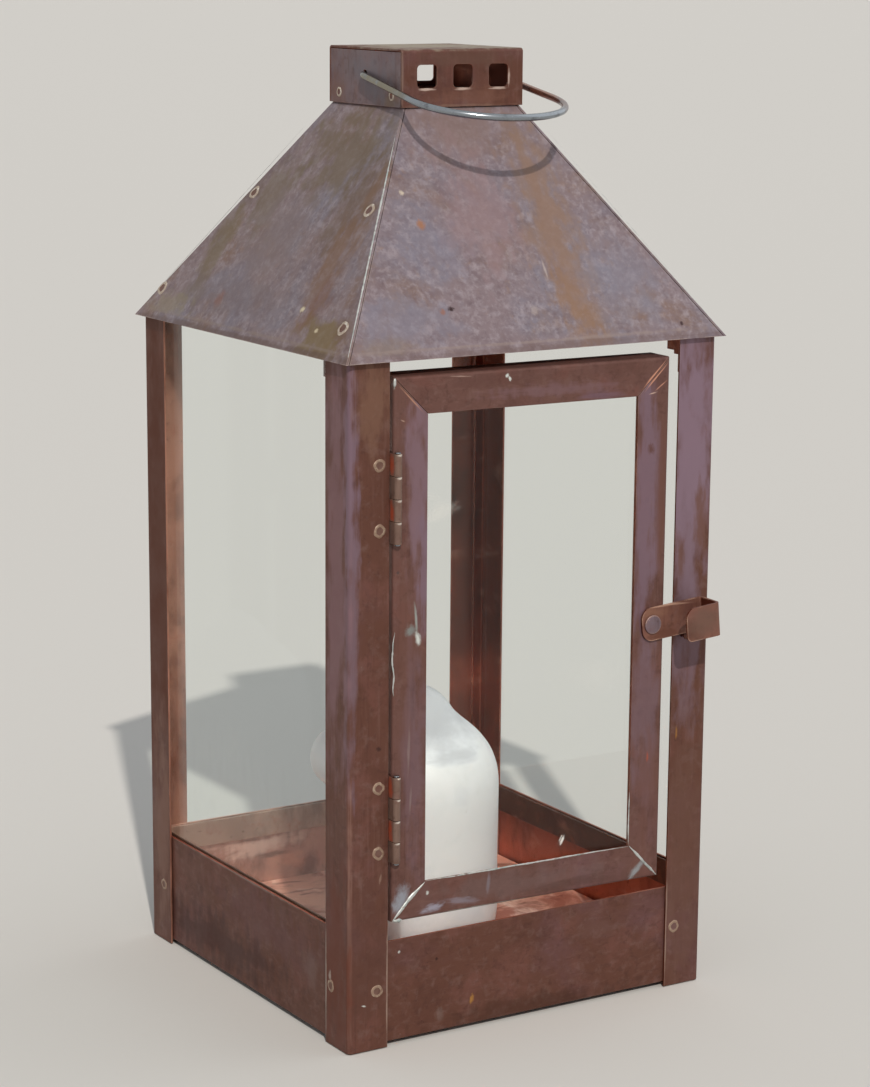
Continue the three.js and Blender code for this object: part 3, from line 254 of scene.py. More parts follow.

# stains on each piece, placed as the rain, the hands and the solder left them, and on some pieces
# painted highlights and painted shade where marked: colour, middle, reach, turn and strength
STAINS_AND_PAINTED_LIGHT = {
    "post_front_left": [
        # down the fold: violet bloom that is partly a painted highlight, and lower down a pinkish
        # painted highlight
        (VIOLET, (-91.2, -91.2, 250), (5, 5, 70), 0, 0.9),
        (MAUVE, (-91.2, -91.2, 190), (5, 5, 90), 0, 0.8),
        ("#8b6a5f", (-91.4, -91.4, 60), (1.6, 1.6, 80), 0, 0.7),
        ("#80604f", (-80, -92, 277), (13, 4, 24), 0, 0.55),
        ("#5a3c34", (-86, -92, 40), (22, 6, 46), 0, 0.5),
        ("#836469", (-92, -82, 210), (4, 12, 120), 0, 0.7),
        ("#65382b", (-92, -82, 40), (4, 16, 60), 0, 0.8),
        (PALE, (-72.9, -92, 26), (0.7, 3, 34), 0, 0.9),
        ("#b5aaa0", (-92, -73, 24), (3, 0.7, 32), 0, 0.9),
        ("#b5aaa0", (-92, -76.5, 31), (3, 1.6, 3), 0, 0.6),
        (CHIP, (-84.5, -92, 20.5), (1.6, 2, 0.5), 15, 0.8),
        ("#8c7163", (-76.5, -92, 75.5), (0.8, 2, 3.2), 12, 0.7),
        ("#2c1c1c", (-77.5, -92, 132), (1.6, 2, 1.6), 0, 0.6),
    ],
    "post_front_right": [
        ("#86707e", (82, -92, 250), (26, 20, 100), 0, 0.9),
        (MAUVE, (80, -92, 168), (12, 8, 66), 0, 0.7),
        ("#6c4a3e", (86.5, -92, 212), (5, 4, 22), 0, 0.8),
        ("#6c4a3e", (76, -92, 196), (3, 4, 12), 0, 0.6),
        ("#684a3f", (82, -92, 60), (16, 6, 90), 0, 0.6),
        ("#a8742f", (76, -92, 118), (0.8, 2, 4), 0, 0.5),
        (PALE, (72.9, -92, 26), (0.7, 3, 34), 0, 0.6),
    ],
    "post_rear_left": [
        ("#572f20", (-92, 82, 210), (10, 24, 200), 0, 1),
        ("#7d5e52", (-92, 80, 60), (5, 12, 60), 0, 0.7),
    ],
    "post_rear_right": [
        (VIOLET, (92, 80, 240), (8, 10, 50), 0, 0.6),
        (MAUVE, (82, 92, 90), (10, 6, 50), 0, 0.5),
    ],
    "skirt_front": [
        ("#b07f3d", (-29.5, -91, 12.9), (1.4, 3, 3), 10, 0.7),
        ("#6f5450", (36, -91, 34), (16, 3, 7), 0, 0.3),
        ("#80706a", (-46, -91, 9), (3, 3, 5), 0, 0.35),
        (CHIP, (-66.4, -91, 41), (0.9, 3, 0.9), 0, 0.8),
        ("#2a1a18", (-47.5, -91, 34.5), (1, 3, 1.2), 0, 0.7),
        ("#42291f", (0, -91, 4), (75, 3, 8), 0, 0.5),
    ],
    "skirt_left": [
        ("#664646", (-91, -20, 36), (6, 70, 18), 0, 0.5),
        ("#472c28", (-91, 30, 15), (6, 90, 16), 0, 0.8),
        ("#6d4c43", (-91, 52, 42), (4, 26, 9), 0, 0.5),
        ("#7d6a66", (-91, -58, 28), (4, 10, 12), 0, 0.3),
        ("#93817a", (-91, 0, 51.6), (4, 90, 0.8), 0, 0.5),
    ],
    "skirt_right": [
        ("#6c5154", (91, 20, 34), (4, 50, 14), 0, 0.5),
        ("#472e2b", (91, -30, 12), (4, 60, 12), 0, 0.6),
    ],
    "skirt_rear": [
        ("#6a4f50", (-20, 91, 36), (50, 4, 14), 0, 0.5),
        ("#472e2b", (30, 91, 12), (60, 4, 12), 0, 0.6),
    ],
    "door_stile_left": [
        ("#836b76", (-59.5, -94, 244), (9, 6, 62), 0, 0.7),
        (VIOLET, (-57.4, -94, 205), (4.4, 6, 36), 0, 0.8),
        (MAUVE, (-62, -94, 120), (10, 6, 70), 0, 0.5),
        ("#6c4a40", (-66, -94, 170), (7, 4, 70), 0, 0.45),
        ("#3d3a3c", (-69, -94, 206), (1.2, 3, 1.4), 0, 0.7),
        (CHIP, (-59.4, -94, 177.5), (2.0, 4, 4.2), -14, 0.95),
        ("#a9b6b2", (-60.4, -94, 186), (0.9, 4, 9), -6, 0.6),
        ("#8fa3a1", (-63, -94, 181), (3.4, 4, 3.4), 0, 0.5),
        ("#8e7c79", (-63.5, -94, 130), (0.9, 4, 12), 2, 0.6),
        ("#8e7c79", (-62.5, -94, 108), (0.8, 4, 9), 3, 0.5),
        ("#a4afbb", (-67, -94, 65), (5, 4, 9), 20, 0.6),
        ("#b98a72", (-63, -94, 277.5), (0.5, 4, 11), -45, 0.8),
        ("#c2a391", (-67, -94, 269), (1.6, 4, 0.45), 20, 0.6),
        ("#ccd0ca", (-70.8, -94, 284.5), (0.8, 4, 3), 0, 0.9),
    ],
    "door_stile_right": [
        (VIOLET, (53.2, -97, 225), (7.5, 7, 96), 0, 0.75),
        (MAUVE, (54, -97, 140), (10, 7, 70), 0, 0.55),
        ("#5f3d34", (54.7, -97, 248), (2.4, 4, 3.6), 0, 0.8),
        ("#6a483f", (60.5, -97, 232), (3.2, 4, 44), 0, 0.8),
        ("#6d4a41", (57, -97, 96), (8, 4, 36), 0, 0.5),
        ("#b5512f", (56.5, -97, 111), (0.8, 3, 3), 0, 0.5),
        ("#c99179", (56.8, -97, 279), (0.5, 4, 11), 45, 0.95),
        ("#c99179", (59, -97, 275), (0.4, 4, 5), 55, 0.8),
        ("#d2b3a2", (55, -97, 272), (2.6, 4, 0.4), -10, 0.8),
    ],
    "door_rail_top": [
        ("#7a5e62", (8, -95, 277), (40, 5, 4), 0, 0.6),
        ("#755c6a", (30, -95, 273), (16, 5, 3), 0, 0.6),
        ("#5d3f39", (-30, -95, 283), (36, 5, 4), 0, 0.45),
        (CHIP, (-17.8, -94.5, 284.4), (1.1, 4, 1.3), 30, 1),
        (CHIP, (-16.4, -94.5, 283), (0.9, 4, 1.6), -20, 1),
        ("#b98a72", (-63.5, -94, 279), (0.5, 4, 11), -45, 0.8),
        ("#c99179", (55.6, -97, 280), (0.6, 4, 11), 45, 0.95),
        ("#c0a497", (-40, -94, 285.5), (6, 4, 0.4), 4, 0.5),
    ],
    "door_rail_bottom": [
        ("#6e5956", (-5, -94.5, 64), (60, 5, 9), 0, 0.5),
        ("#a3a3b2", (-52, -94, 59), (8, 4, 2.6), -8, 0.7),
        ("#8f8a96", (-38, -94, 60), (12, 4, 2.4), 6, 0.5),
        ("#857f88", (-24, -94, 66), (1.4, 4, 7), 4, 0.5),
        ("#523a34", (20, -95, 59), (34, 5, 4), 0, 0.5),
        (CHIP, (-54, -94, 66), (1.1, 4, 1.3), 0, 0.8),
        ("#9aa2a6", (52, -96.5, 60), (9, 4, 2.4), -45, 0.7),
        ("#b7bdb8", (-30, -94, 55.9), (30, 4, 0.5), 0, 0.5),
    ],
    "latch_strap": [
        ("#8f6855", (57, -98, 176), (9, 8, 4), 0, 0.6),
        ("#5f3a2c", (64, -98, 166), (12, 8, 6), 0, 0.7),
        ("#5a3d33", (68, -112, 169), (9, 6, 7), 30, 0.7),
        ("#6c5348", (74, -112, 174), (12, 6, 10), 0, 0.7),
        ("#c9a08a", (62, -98, 178.9), (20, 4, 1), 0, 0.9),
        (PALE, (74, -113, 164.5), (9, 3, 1.2), 0, 0.7),
    ],
    "roof_front": [
        ("#7c6762", (-4, -34, 383), (34, 20, 20), 0, 0.7),
        ("#8c7476", (-9, -56, 350), (26, 40, 46), 0, 0.6),
        ("#846d61", (24, -60, 345), (19, 76, 96), 0, 0.75),
        ("#886a56", (24.5, -68, 334), (11, 64, 70), 0, 0.4),
        ("#8b6a4f", (25, -84, 309), (15, 26, 24), 0, 0.4),
        ("#7c7a88", (-62, -84, 309), (34, 24, 16), 0, 0.5),
        ("#7a7785", (-36, -66, 336), (18, 24, 26), 0, 0.4),
        ("#7f7c88", (52, -78, 318), (30, 24, 30), 0, 0.45),
        ("#7f7067", (-74, -92, 299), (18, 8, 6), 0, 0.6),
        # painted highlight and painted shade of the eave's fold: a pale line with a darker band
        # under it
        ("#8f7f7a", (0, -95, 297.4), (150, 8, 1.1), 0, 0.6),
        ("#6a5652", (0, -95, 294.5), (150, 8, 3), 0, 0.5),
        ("#9c6a48", (-39.2, -60.5, 344.7), (2.8, 4, 3.2), 0, 0.8),
        ("#c2b5a4", (-43.4, -52, 357.3), (1.5, 2, 1.7), 0, 0.9),
        ("#321f20", (-38.2, -82.9, 311.7), (2.4, 3, 1.4), 0, 0.95),
        ("#8f6250", (-42.4, -83.4, 310.9), (1.9, 3, 1.9), 0, 0.7),
        ("#3a2628", (74, -91, 300), (1.3, 3, 1.5), 0, 0.9),
        ("#b3a6a0", (14, -74, 325), (0.8, 6, 6), 0, 0.6),
        ("#b3a6a0", (2, -84, 309), (3, 4, 3), 0, 0.4),
    ],
    "roof_left": [
        ("#6f604f", (-40, -8, 372), (36, 44, 36), 0, 0.75),
        ("#695646", (-54, -34, 352), (34, 20, 36), 0, 0.6),
        ("#7a5d49", (-68, -44, 333), (48, 14, 50), 0, 0.65),
        ("#71624a", (-71, 55, 329), (40, 12, 44), 0, 0.7),
        ("#6f614e", (-56, 34, 350), (34, 20, 32), 0, 0.6),
        ("#77643f", (-88, -66, 302), (18, 26, 12), 0, 0.75),
        ("#744f3e", (-80, -50, 314), (18, 11, 18), 0, 0.5),
        ("#7b6d6e", (-68, 12, 334), (30, 34, 30), 0, 0.6),
        ("#74676a", (-84, 20, 310), (18, 60, 14), 0, 0.5),
        ("#86543f", (-86, 30, 307), (9, 5, 5), 0, 0.4),
        ("#8b8069", (-90, 70, 301), (12, 24, 7), 0, 0.5),
        # painted highlight and painted shade of the eave's fold: a pale line with a darker band
        # under it
        ("#8a7b73", (-95, 0, 297.4), (8, 150, 1.1), 0, 0.5),
        ("#5f4c46", (-95, 0, 294.5), (8, 150, 3), 0, 0.6),
        ("#d3c7a9", (-84.2, -40.4, 309.8), (1.7, 2.4, 2), 0, 0.9),
        ("#cdbfa2", (-88.6, -59.5, 303.3), (1.4, 2, 1.5), 0, 0.9),
        ("#574339", (-56.7, 51.8, 350.3), (8, 9, 9), 0, 0.4),
        ("#6a5038", (-56.9, -48.3, 349), (7, 8, 9), 0, 0.6),
        ("#6a5038", (-86.7, -78, 305.6), (8, 8, 8), 0, 0.6),
    ],
    "roof_right": [
        ("#716146", (40, 8, 372), (26, 32, 22), 0, 0.7),
        ("#8c6a4e", (66, -30, 336), (40, 7, 46), 0, 0.6),
        ("#7a7987", (72, 34, 328), (24, 22, 26), 0, 0.6),
        # painted highlight of the eave's fold
        ("#8f8078", (95, 0, 297.4), (8, 110, 1), 0, 0.5),
    ],
    "roof_rear": [
        ("#716146", (6, 40, 372), (30, 26, 22), 0, 0.7),
        ("#8c6a4e", (-30, 66, 336), (7, 40, 46), 0, 0.6),
        ("#7a7987", (40, 72, 328), (24, 24, 26), 0, 0.6),
        # painted highlight of the eave's fold
        ("#8f8078", (0, 95, 297.4), (110, 8, 1), 0, 0.5),
    ],
    "chimney_strap": [
        ("#63493f", (0, -30.5, 411), (30, 3, 6), 0, 0.6),
        ("#7a5547", (4, -30.5, 395), (26, 3, 6), 0, 0.5),
        ("#998f7f", (0, 0, 415.2), (60, 60, 1.6), 0, 0.9),
        ("#7d655c", (-30.4, -30.4, 403), (1.2, 1.2, 20), 0, 0.8),
        ("#bda89c", (-18, -30.5, 398.2), (5.5, 3, 0.9), 0, 1),
        ("#bda89c", (0, -30.5, 398.2), (5.5, 3, 0.9), 0, 0.9),
        ("#bda89c", (18, -30.5, 398.2), (5.5, 3, 0.9), 0, 0.9),
        ("#bda89c", (23.3, -30.5, 402.6), (0.8, 3, 5), 0, 0.8),
        ("#8a6f5f", (0, -30.5, 391.2), (31, 3, 0.8), 0, 0.4),
    ],
    "chimney_side_left": [
        ("#6e6a72", (-30.5, -8, 402), (4, 22, 15), 0, 0.6),
        ("#76564b", (-30.5, 24, 396), (4, 12, 10), 0, 0.6),
        ("#7a6650", (-30.5, -22, 393), (4, 8, 6), 0, 0.5),
    ],
}

# the roof's skin: grey-violet and brown clouds, then the mottling that drying rain leaves, and
# specks, both of which are drawn about twice as coarse as real ones, so that they show
ROOF_LAYERS = [
    ("#777684", 46, 0.46, 0.66, 0.6, EVEN),
    ("#7d6353", 30, 0.5, 0.68, 0.6, EVEN),
    ("#6b5b60", 9, 0.48, 0.66, 0.55, EVEN),
    ("#a2989e", 6, 0.5, 0.68, 0.45, EVEN),
    ("#9d9297", 2.6, 0.46, 0.7, 0.5, EVEN),
    ("#64555a", 2.2, 0.5, 0.74, 0.5, EVEN),
    ("#8b6f5c", 5, 0.58, 0.74, 0.4, EVEN),
    ("#4d3d3d", 1.8, 0.69, 0.75, 0.6, EVEN),
    ("#b9aea8", 1.3, 0.7, 0.76, 0.6, EVEN),
]

# the oxide's tone on each piece, and the copper's tone on the faces that look inwards
BODY_TONE, DOOR_TONE, ROOF_TONE, HINGE_TONE, STRIP_TONE = (
    "#613f34", "#694a43", "#7f7074", "#796257", "#64493b")
OWN_TONES = {
    "roof_left": "#837273", "chimney_side_left": "#786a6d", "chimney_side_right": "#786a6d",
    "latch_rivet": "#77676e", "latch_strap": "#7f574a",
}
INNER_TONE, SKIRT_INNER_TONE = "#7d4433", "#b0573a"
# the rear skirt's pale inside tone is partly a painted reflection of light off the floor
INNER_TONES = {
    "post_rear_right": "#83402f", "post_rear_left": "#b98673", "pane_strip_rear": "#c0a593",
    "pane_strip_right": "#5f3d2e", "pane_strip_left": "#64493b", "skirt_rear": "#cfa392",
    "skirt_right": "#a65c45",
}
INNER_PAINTED_REFLECTIONS = {
    # cream swirls on the rear skirt's inside, with darker red among them: painted reflections of
    # light off the floor
    "skirt_rear": [
        ("#f3dacd", (-34, 91, 35), (30, 8, 8), -6, 0.85),
        ("#ecccbc", (-60, 91, 40), (22, 8, 5), 0, 0.7),
        ("#e2ae98", (-18, 91, 25), (16, 8, 6), 8, 0.8),
        ("#7c3423", (-7, 91, 21), (7, 8, 10), 10, 0.7),
        ("#5c3a33", (-26, 91, 29), (12, 8, 2.2), 0, 0.6),
    ],
}
RAILS = (
    "door_rail_bottom", "door_rail_top", "skirt_front", "skirt_rear", "skirt_left", "skirt_right")

# the heights in mm that the hinges' marks are placed from, how far above them each leaf's two worn
# lips lie, and how far above them the post leaves show a strip of orange, unweathered copper
HINGE_HEIGHTS = (237.3, 100.9)
POST_LEAF_LIPS, DOOR_LEAF_LIPS = (18.5, -0.5), (9, -9.8)
ORANGE_STRIPS = (14, -5)


def hinge_stains(name):
    """Pale lips on a hinge leaf's rolled knuckles, and the orange strips beside the post leaf's."""
    on_post = name.endswith("post_leaf")
    stains = [("#d6ccc2", (-70, -97.2, z + lip), (2.8, 2.6, 1), 0, 0.9)
              for z in HINGE_HEIGHTS for lip in (POST_LEAF_LIPS if on_post else DOOR_LEAF_LIPS)]
    if on_post:
        stains += [("#ab5138", (-73.1, -92.9, z + strip), (2.5, 2.9, 9), 0, 1)
                   for z in HINGE_HEIGHTS for strip in ORANGE_STRIPS]
    return stains


def body_copper(name):
    """The weathered copper of one piece, with its own rain runs and blooms, and on some pieces
    painted highlights, shade or reflections.
    """
    stains = STAINS_AND_PAINTED_LIGHT.get(name, ())
    if name.startswith("roof_") and "bracket" not in name:
        return patinated_copper(
            "rain_washed_copper_" + name, OWN_TONES.get(name, ROOF_TONE), ROOF_LAYERS, stains,
            bare="#b8a59b", rub=0.7, metal=0.4, dull=0.5)
    tone, rub, bare, worn_to, dull = BODY_TONE, 0.5, "#b39684", 0.6, 0.46
    inside = SKIRT_INNER_TONE if name.startswith("skirt") else INNER_TONE
    if name.startswith("door"):
        tone = DOOR_TONE
    if name.startswith("pane_strip"):
        tone = STRIP_TONE
    if name.startswith("hinge"):
        tone, rub, stains = HINGE_TONE, 0.85, hinge_stains(name)
    if name.startswith("latch"):
        rub, bare, worn_to = 0.85, "#d2ac96", 1.1
    if name == "chimney_strap":
        dull = 0.6      # its flat top stands in the rain
    return patinated_copper(
        "brown_patinated_copper_" + name, OWN_TONES.get(name, tone),
        brown_layers(ALONG if name in RAILS else DOWN), stains, bare=bare, rub=rub,
        inside=INNER_TONES.get(name, inside), inner_stains_and_reflections=INNER_PAINTED_REFLECTIONS.get(name, ()),
        dull=dull, worn_to=worn_to)


def sheltered_floor_copper():
    """Rolled sheet copper under cover, never rained on: red-brown, half shiny and softly dented,
    so that its reflections break up in clouds. Its colour is also laid in pale pink and dark red
    clouds, which are partly painted reflections. Spilt wax and dust lie on it as pale flecks. The
    dust is finer than 0.1 mm and is drawn 1.5 mm coarse, so that it breaks the shine."""
    material, tree, place = blank("sheltered_floor_copper")
    dents = add(tree, "ShaderNodeTexNoise", {
        "Vector": place, "Scale": per_metre(60), "Detail": 2.0})
    swirled = add(tree, "ShaderNodeVectorMath", {
        0: dents.outputs["Color"], 1: [0.06, 0.06, 0], 2: place}, operation="MULTIPLY_ADD")
    # pale pink and dark red clouds, partly painted reflections, then pale flecks of spilt wax and
    # dust
    colour = weathered(tree, swirled, srgb("#e0ad99"), [
        ("#9c5444", 34, 0.46, 0.62, 0.8, EVEN),
        ("#f4d4c4", 16, 0.5, 0.66, 0.9, (1, 0.5, 1)),
        ("#7f4233", 9, 0.54, 0.68, 0.7, (0.5, 1, 1)),
        ("#e4cfc2", 2.2, 0.68, 0.75, 0.7, EVEN)])
    finished(tree, {"Base Color": colour, "Roughness": 0.46, "Metallic": 0.4}, [
        (28, 1.6, 0.5), (9, 0.3, 0.3), (1.5, 0.04, 0.3)], place)
    return material


def steel_wire():
    """Drawn steel wire with a grey zinc coat, weathered dull: the eye reads long, cold highlights
    along the bend. The coat's grain is drawn 0.8 mm coarse, about four times the real one, so that
    it shows."""
    material, tree, place = blank("drawn_steel_wire")
    colour = weathered(tree, place, srgb("#93999f"), [
        ("#5f6066", 6, 0.5, 0.68, 0.6, EVEN), ("#c3c9cf", 1.2, 0.6, 0.75, 0.5, EVEN)])
    colour = stained(tree, place, colour, [
        ("#8b8474", (-34, -22, 400), (9, 34, 14), 0, 1),
        # on the right leg, pinkish brown: a painted reflection of the copper around it
        ("#b49183", (34, -34, 397), (10, 40, 16), 0, 0.9),
        ("#876656", (30, -64, 391), (7, 14, 10), 0, 0.7)])
    finished(tree, {"Base Color": colour, "Roughness": 0.24, "Metallic": 1.0}, [
        (0.8, 0.03, 0.3)], place)
    return material


def tin_solder():
    """Soft tin solder that ran along a seam and dulled: silver turned grey, with green-blue salts
    on it. The eye reads it as the one bright, cold line on brown copper."""
    material, tree, place = blank("soft_tin_solder")
    colour = weathered(tree, place, srgb("#c3c5c2"), [
        ("#86908f", 5, 0.48, 0.66, 0.7, EVEN), ("#8fb0ab", 9, 0.55, 0.7, 0.5, EVEN),
        ("#7b5f55", 3, 0.58, 0.7, 0.7, EVEN)])
    finished(tree, {"Base Color": colour, "Roughness": 0.4, "Metallic": 0.6}, [
        (1.5, 0.1, 0.5)], place)
    return material


def heat_tinted_copper(name, base, dust):
    """Copper where a spot welder's tip has pressed and heated it: a buff ring, dusty in its groove,
    that the eye reads as paler and drier than the sheet. Rain has washed the roof's rings paler."""
    material, tree, place = blank(name)
    colour = weathered(tree, place, srgb(base), [
        ("#7a5a48", 2.6, 0.52, 0.7, 0.7, EVEN), (dust, 1.6, 0.48, 0.64, 0.8, EVEN)])
    finished(tree, {"Base Color": colour, "Roughness": 0.5, "Metallic": 0.35}, [
        (0.9, 0.05, 0.5)], place)
    return material


def window_glass(name, smears):
    """Float glass, 2 mm thick: clear, with dried rain and smears that catch a little light. Its
    IOR is matched down from 1.5, so that it mirrors a bright studio no more than it would a garden.
    A smear's colour says how much dust lies there, from black for none. Dried drops of 0.5 mm are
    drawn 1.6 mm wide, so that they show. Lamps and soft light pass straight through."""
    material, tree, place = blank(name)
    haze = weathered(tree, place, srgb("#000000"), [
        ("#3c3c3c", 5, 0.66, 0.8, 0.4, (1, 1, 0.5)), ("#ffffff", 1.6, 0.74, 0.765, 0.5, EVEN)])
    haze = stained(tree, place, haze, smears)
    pane = add(tree, "ShaderNodeBsdfPrincipled", {
        "Base Color": srgb("#fcfefd"), "Roughness": 0.0, "IOR": 1.24, "Transmission Weight": 1.0})
    dust = add(tree, "ShaderNodeBsdfDiffuse", {"Color": srgb("#dedbd4")})
    dusty = add(tree, "ShaderNodeMixShader", {0: haze.outputs[2], 1: pane, 2: dust})
    clear = add(tree, "ShaderNodeBsdfTransparent", {"Color": srgb("#fafcfb")})
    path = add(tree, "ShaderNodeLightPath")
    lamp = add(tree, "ShaderNodeMath", {
        0: path.outputs["Is Shadow Ray"], 1: path.outputs["Is Diffuse Ray"]}, operation="MAXIMUM")
    both = add(tree, "ShaderNodeMixShader", {0: lamp, 1: dusty, 2: clear})
    add(tree, "ShaderNodeOutputMaterial", {"Surface": both})
    return material


def candle_wax():
    """Paraffin wax, cast as a pillar and slumped in the sun: milky, lit a little from within, with
    cloudier patches, a grey band of painted shade for a crease under the shoulder, and small
    bubbles. The bubbles are under 1 mm and are drawn 2.2 mm wide, so that they show."""
    material, tree, place = blank("cast_paraffin_wax")
    colour = weathered(tree, place, srgb("#f6f9fe"), [
        ("#e9ebee", 20, 0.46, 0.66, 0.6, EVEN), ("#fdfdfe", 7, 0.55, 0.72, 0.5, EVEN),
        ("#d2d0cb", 2.2, 0.67, 0.74, 0.5, EVEN)])
    colour = stained(tree, place, colour, [
        # a greyer shoulder and top, then a grey band under the shoulder: painted shade of a crease
        ("#c3c5ca", (-4, -12, 124), (40, 40, 28), 0, 0.8),
        ("#c2c4c8", (0, -31, 103.6), (22, 14, 5), -2, 0.55)], worn_through=0)
    finished(tree, {
        "Base Color": colour, "Roughness": 0.4, "IOR": 1.44, "Subsurface Weight": 0.9,
        "Subsurface Radius": [1, 0.97, 0.94], "Subsurface Scale": 0.028,
    }, [(18, 0.5, 0.3), (2.4, 0.06, 0.3)], place)
    return material


def charred_cotton():
    """A burnt cotton wick: matt black with ashy threads. Threads of 0.3 mm are drawn 0.8 mm thick,
    so that they show."""
    material, tree, place = blank("charred_cotton")
    colour = weathered(tree, place, srgb("#2b2723"), [("#58504a", 0.8, 0.5, 0.7, 0.6, (1, 1, 0.3))])
    finished(tree, {"Base Color": colour, "Roughness": 0.9}, [(0.6, 0.08, 0.6)], place)
    return material


glass = window_glass("float_glass", [("#484848", (-90, 10, 90), (6, 60, 30), 0, 0.4)])
door_glass = window_glass("smeared_float_glass", [
    ("#909090", (-49, -93, 229), (12, 6, 5), -12, 0.6),
    ("#707070", (-52, -93, 236), (6, 6, 2), 20, 0.5),
    ("#606060", (30, -95, 150), (24, 8, 10), 10, 0.3),
    ("#ffffff", (14, -94, 79), (1.0, 3, 3.4), 25, 0.9)])
steel = steel_wire()
OTHER_FINISHES = {
    "pane_left": glass, "pane_right": glass, "pane_rear": glass, "door_pane": door_glass,
    "carrying_bow": steel, "hinge_upper_pin": steel, "hinge_lower_pin": steel,
    "floor_pan": sheltered_floor_copper(), "candle": candle_wax(), "candle_wick": charred_cotton(),
}
for name, piece in nodes.items():
    piece.data.materials.clear()
    piece.data.materials.append(OTHER_FINISHES.get(name) or body_copper(name))


# Each sheet piece has its cut edges broken by a small bevel. Wax and wire are only smoothed. Each
# pane is drawn in by a hair, so that its face and the copper that it lies on aren't one surface.

for name, piece in nodes.items():
    for face in piece.data.polygons:
        face.use_smooth = True
    weld = piece.modifiers.new("weld", "WELD")
    weld.merge_threshold = 0.01 * MM
    if name in ("candle", "candle_wick", "carrying_bow"):
        continue
    flat = piece.modifiers.new("flat", "DECIMATE")
    flat.decimate_type = "DISSOLVE"
    flat.angle_limit = math.radians(1)
    if "pane" in name and "strip" not in name:
        clear = piece.modifiers.new("clear_of_the_copper", "DISPLACE")
        clear.mid_level = 0
        clear.strength = -0.03 * MM
    edge = piece.modifiers.new("edge", "BEVEL")
    edge.width = 0.2 * MM
    edge.segments = 2
    edge.limit_method = "ANGLE"
    edge.angle_limit = math.radians(35)
    piece.modifiers.new("shade", "WEIGHTED_NORMAL")


# seams and marks that stand on the sheet

def new_piece(name, shape, finishes, body):
    """Ends a mesh drawn in mm: smooths it, gives it its finishes and lets it ride on its body."""
    bmesh.ops.scale(shape, verts=shape.verts, vec=(MM, MM, MM))
    bmesh.ops.recalc_face_normals(shape, faces=shape.faces)
    mesh = bpy.data.meshes.new(name)
    shape.to_mesh(mesh)
    shape.free()
    for face in mesh.polygons:
        face.use_smooth = True
    for finish in finishes:
        mesh.materials.append(finish)
    piece = bpy.data.objects.new(name, mesh)
    bpy.context.scene.collection.objects.link(piece)
    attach(piece, body)
    return piece


RUN_STEP = 0.9      # mm from ring to ring along a run of solder
RUN_SIDES = 8


def solder_run(shape, start, end, out, width, rise, waver=0.0):
    """A thin run of solder from start to end on a face that looks out: a low ridge, uneven in width
    and drawn to a point at both ends."""
    length = (end - start).length
    steps = max(6, round(length / RUN_STEP))
    side = (end - start).cross(out).normalized()
    rings = []
    for step in range(steps + 1):
        middle = start.lerp(end, step / steps)
        drift = side * waver * noise.noise(middle * 0.12)
        swell = 0.6 + 0.8 * abs(noise.noise(middle * 0.7)) + 0.5 * abs(noise.noise(middle * 0.21))
        swell *= min(1, 4 * step / steps + 0.15, 4 * (steps - step) / steps + 0.15)
        rings.append([shape.verts.new(
            middle + drift + side * width / 2 * swell * math.cos(math.tau * i / RUN_SIDES)
            + out * rise * swell * math.sin(math.tau * i / RUN_SIDES)) for i in range(RUN_SIDES)])
    for near, far in zip(rings, rings[1:]):
        for i in range(RUN_SIDES):
            after = (i + 1) % RUN_SIDES
            shape.faces.new((near[i], near[after], far[after], far[i]))
    shape.faces.new(rings[0])
    shape.faces.new(rings[-1])


# a spot weld in section: how far out from its middle as a share of its radius, and its rise in mm.
# The dimple begins at the fourth of these.
WELD_SECTION = [(1.0, -0.1), (0.94, 0.08), (0.8, 0.2), (0.56, 0.16), (0.44, 0.05), (0.22, 0.03)]
DIMPLE_FROM = 3
WELD_SIDES = 24
WELD_UNEVEN = 0.2

# the finishes on the piece that holds the spot welds
POST_RIM, DIMPLE, ROOF_RIM = 0, 1, 2


def weld_mark(shape, middle, out, radius, rim):
    """The ring that a spot welder's tip leaves: a low uneven rim round a shallow, darker dimple."""
    along = out.orthogonal().normalized()
    across = out.cross(along)
    rings = []
    for share, rise in WELD_SECTION:
        ring = []
        for i in range(WELD_SIDES):
            turn = math.tau * i / WELD_SIDES
            way = along * math.cos(turn) + across * math.sin(turn)
            uneven = 1 + WELD_UNEVEN * noise.noise(middle + way * 1.3)
            ring.append(shape.verts.new(
                middle + way * radius * share * uneven + out * rise * uneven))
        rings.append(ring)
    for row, (near, far) in enumerate(zip(rings, rings[1:])):
        for i in range(WELD_SIDES):
            after = (i + 1) % WELD_SIDES
            face = shape.faces.new((near[i], near[after], far[after], far[i]))
            face.material_index = DIMPLE if row >= DIMPLE_FROM else rim
    shape.faces.new(rings[-1]).material_index = DIMPLE


FRONT, BACK = Vector((0, -1, 0)), Vector((0, 1, 0))
LEFT, RIGHT = Vector((-1, 0, 0)), Vector((1, 0, 0))
POST_FACE, CHIMNEY_FACE = 92.0, 30.5                # mm from the lantern's middle
ROOF_LEAN = Vector((96.65, 0, 65.6)).normalized()   # the way out of the right roof panel

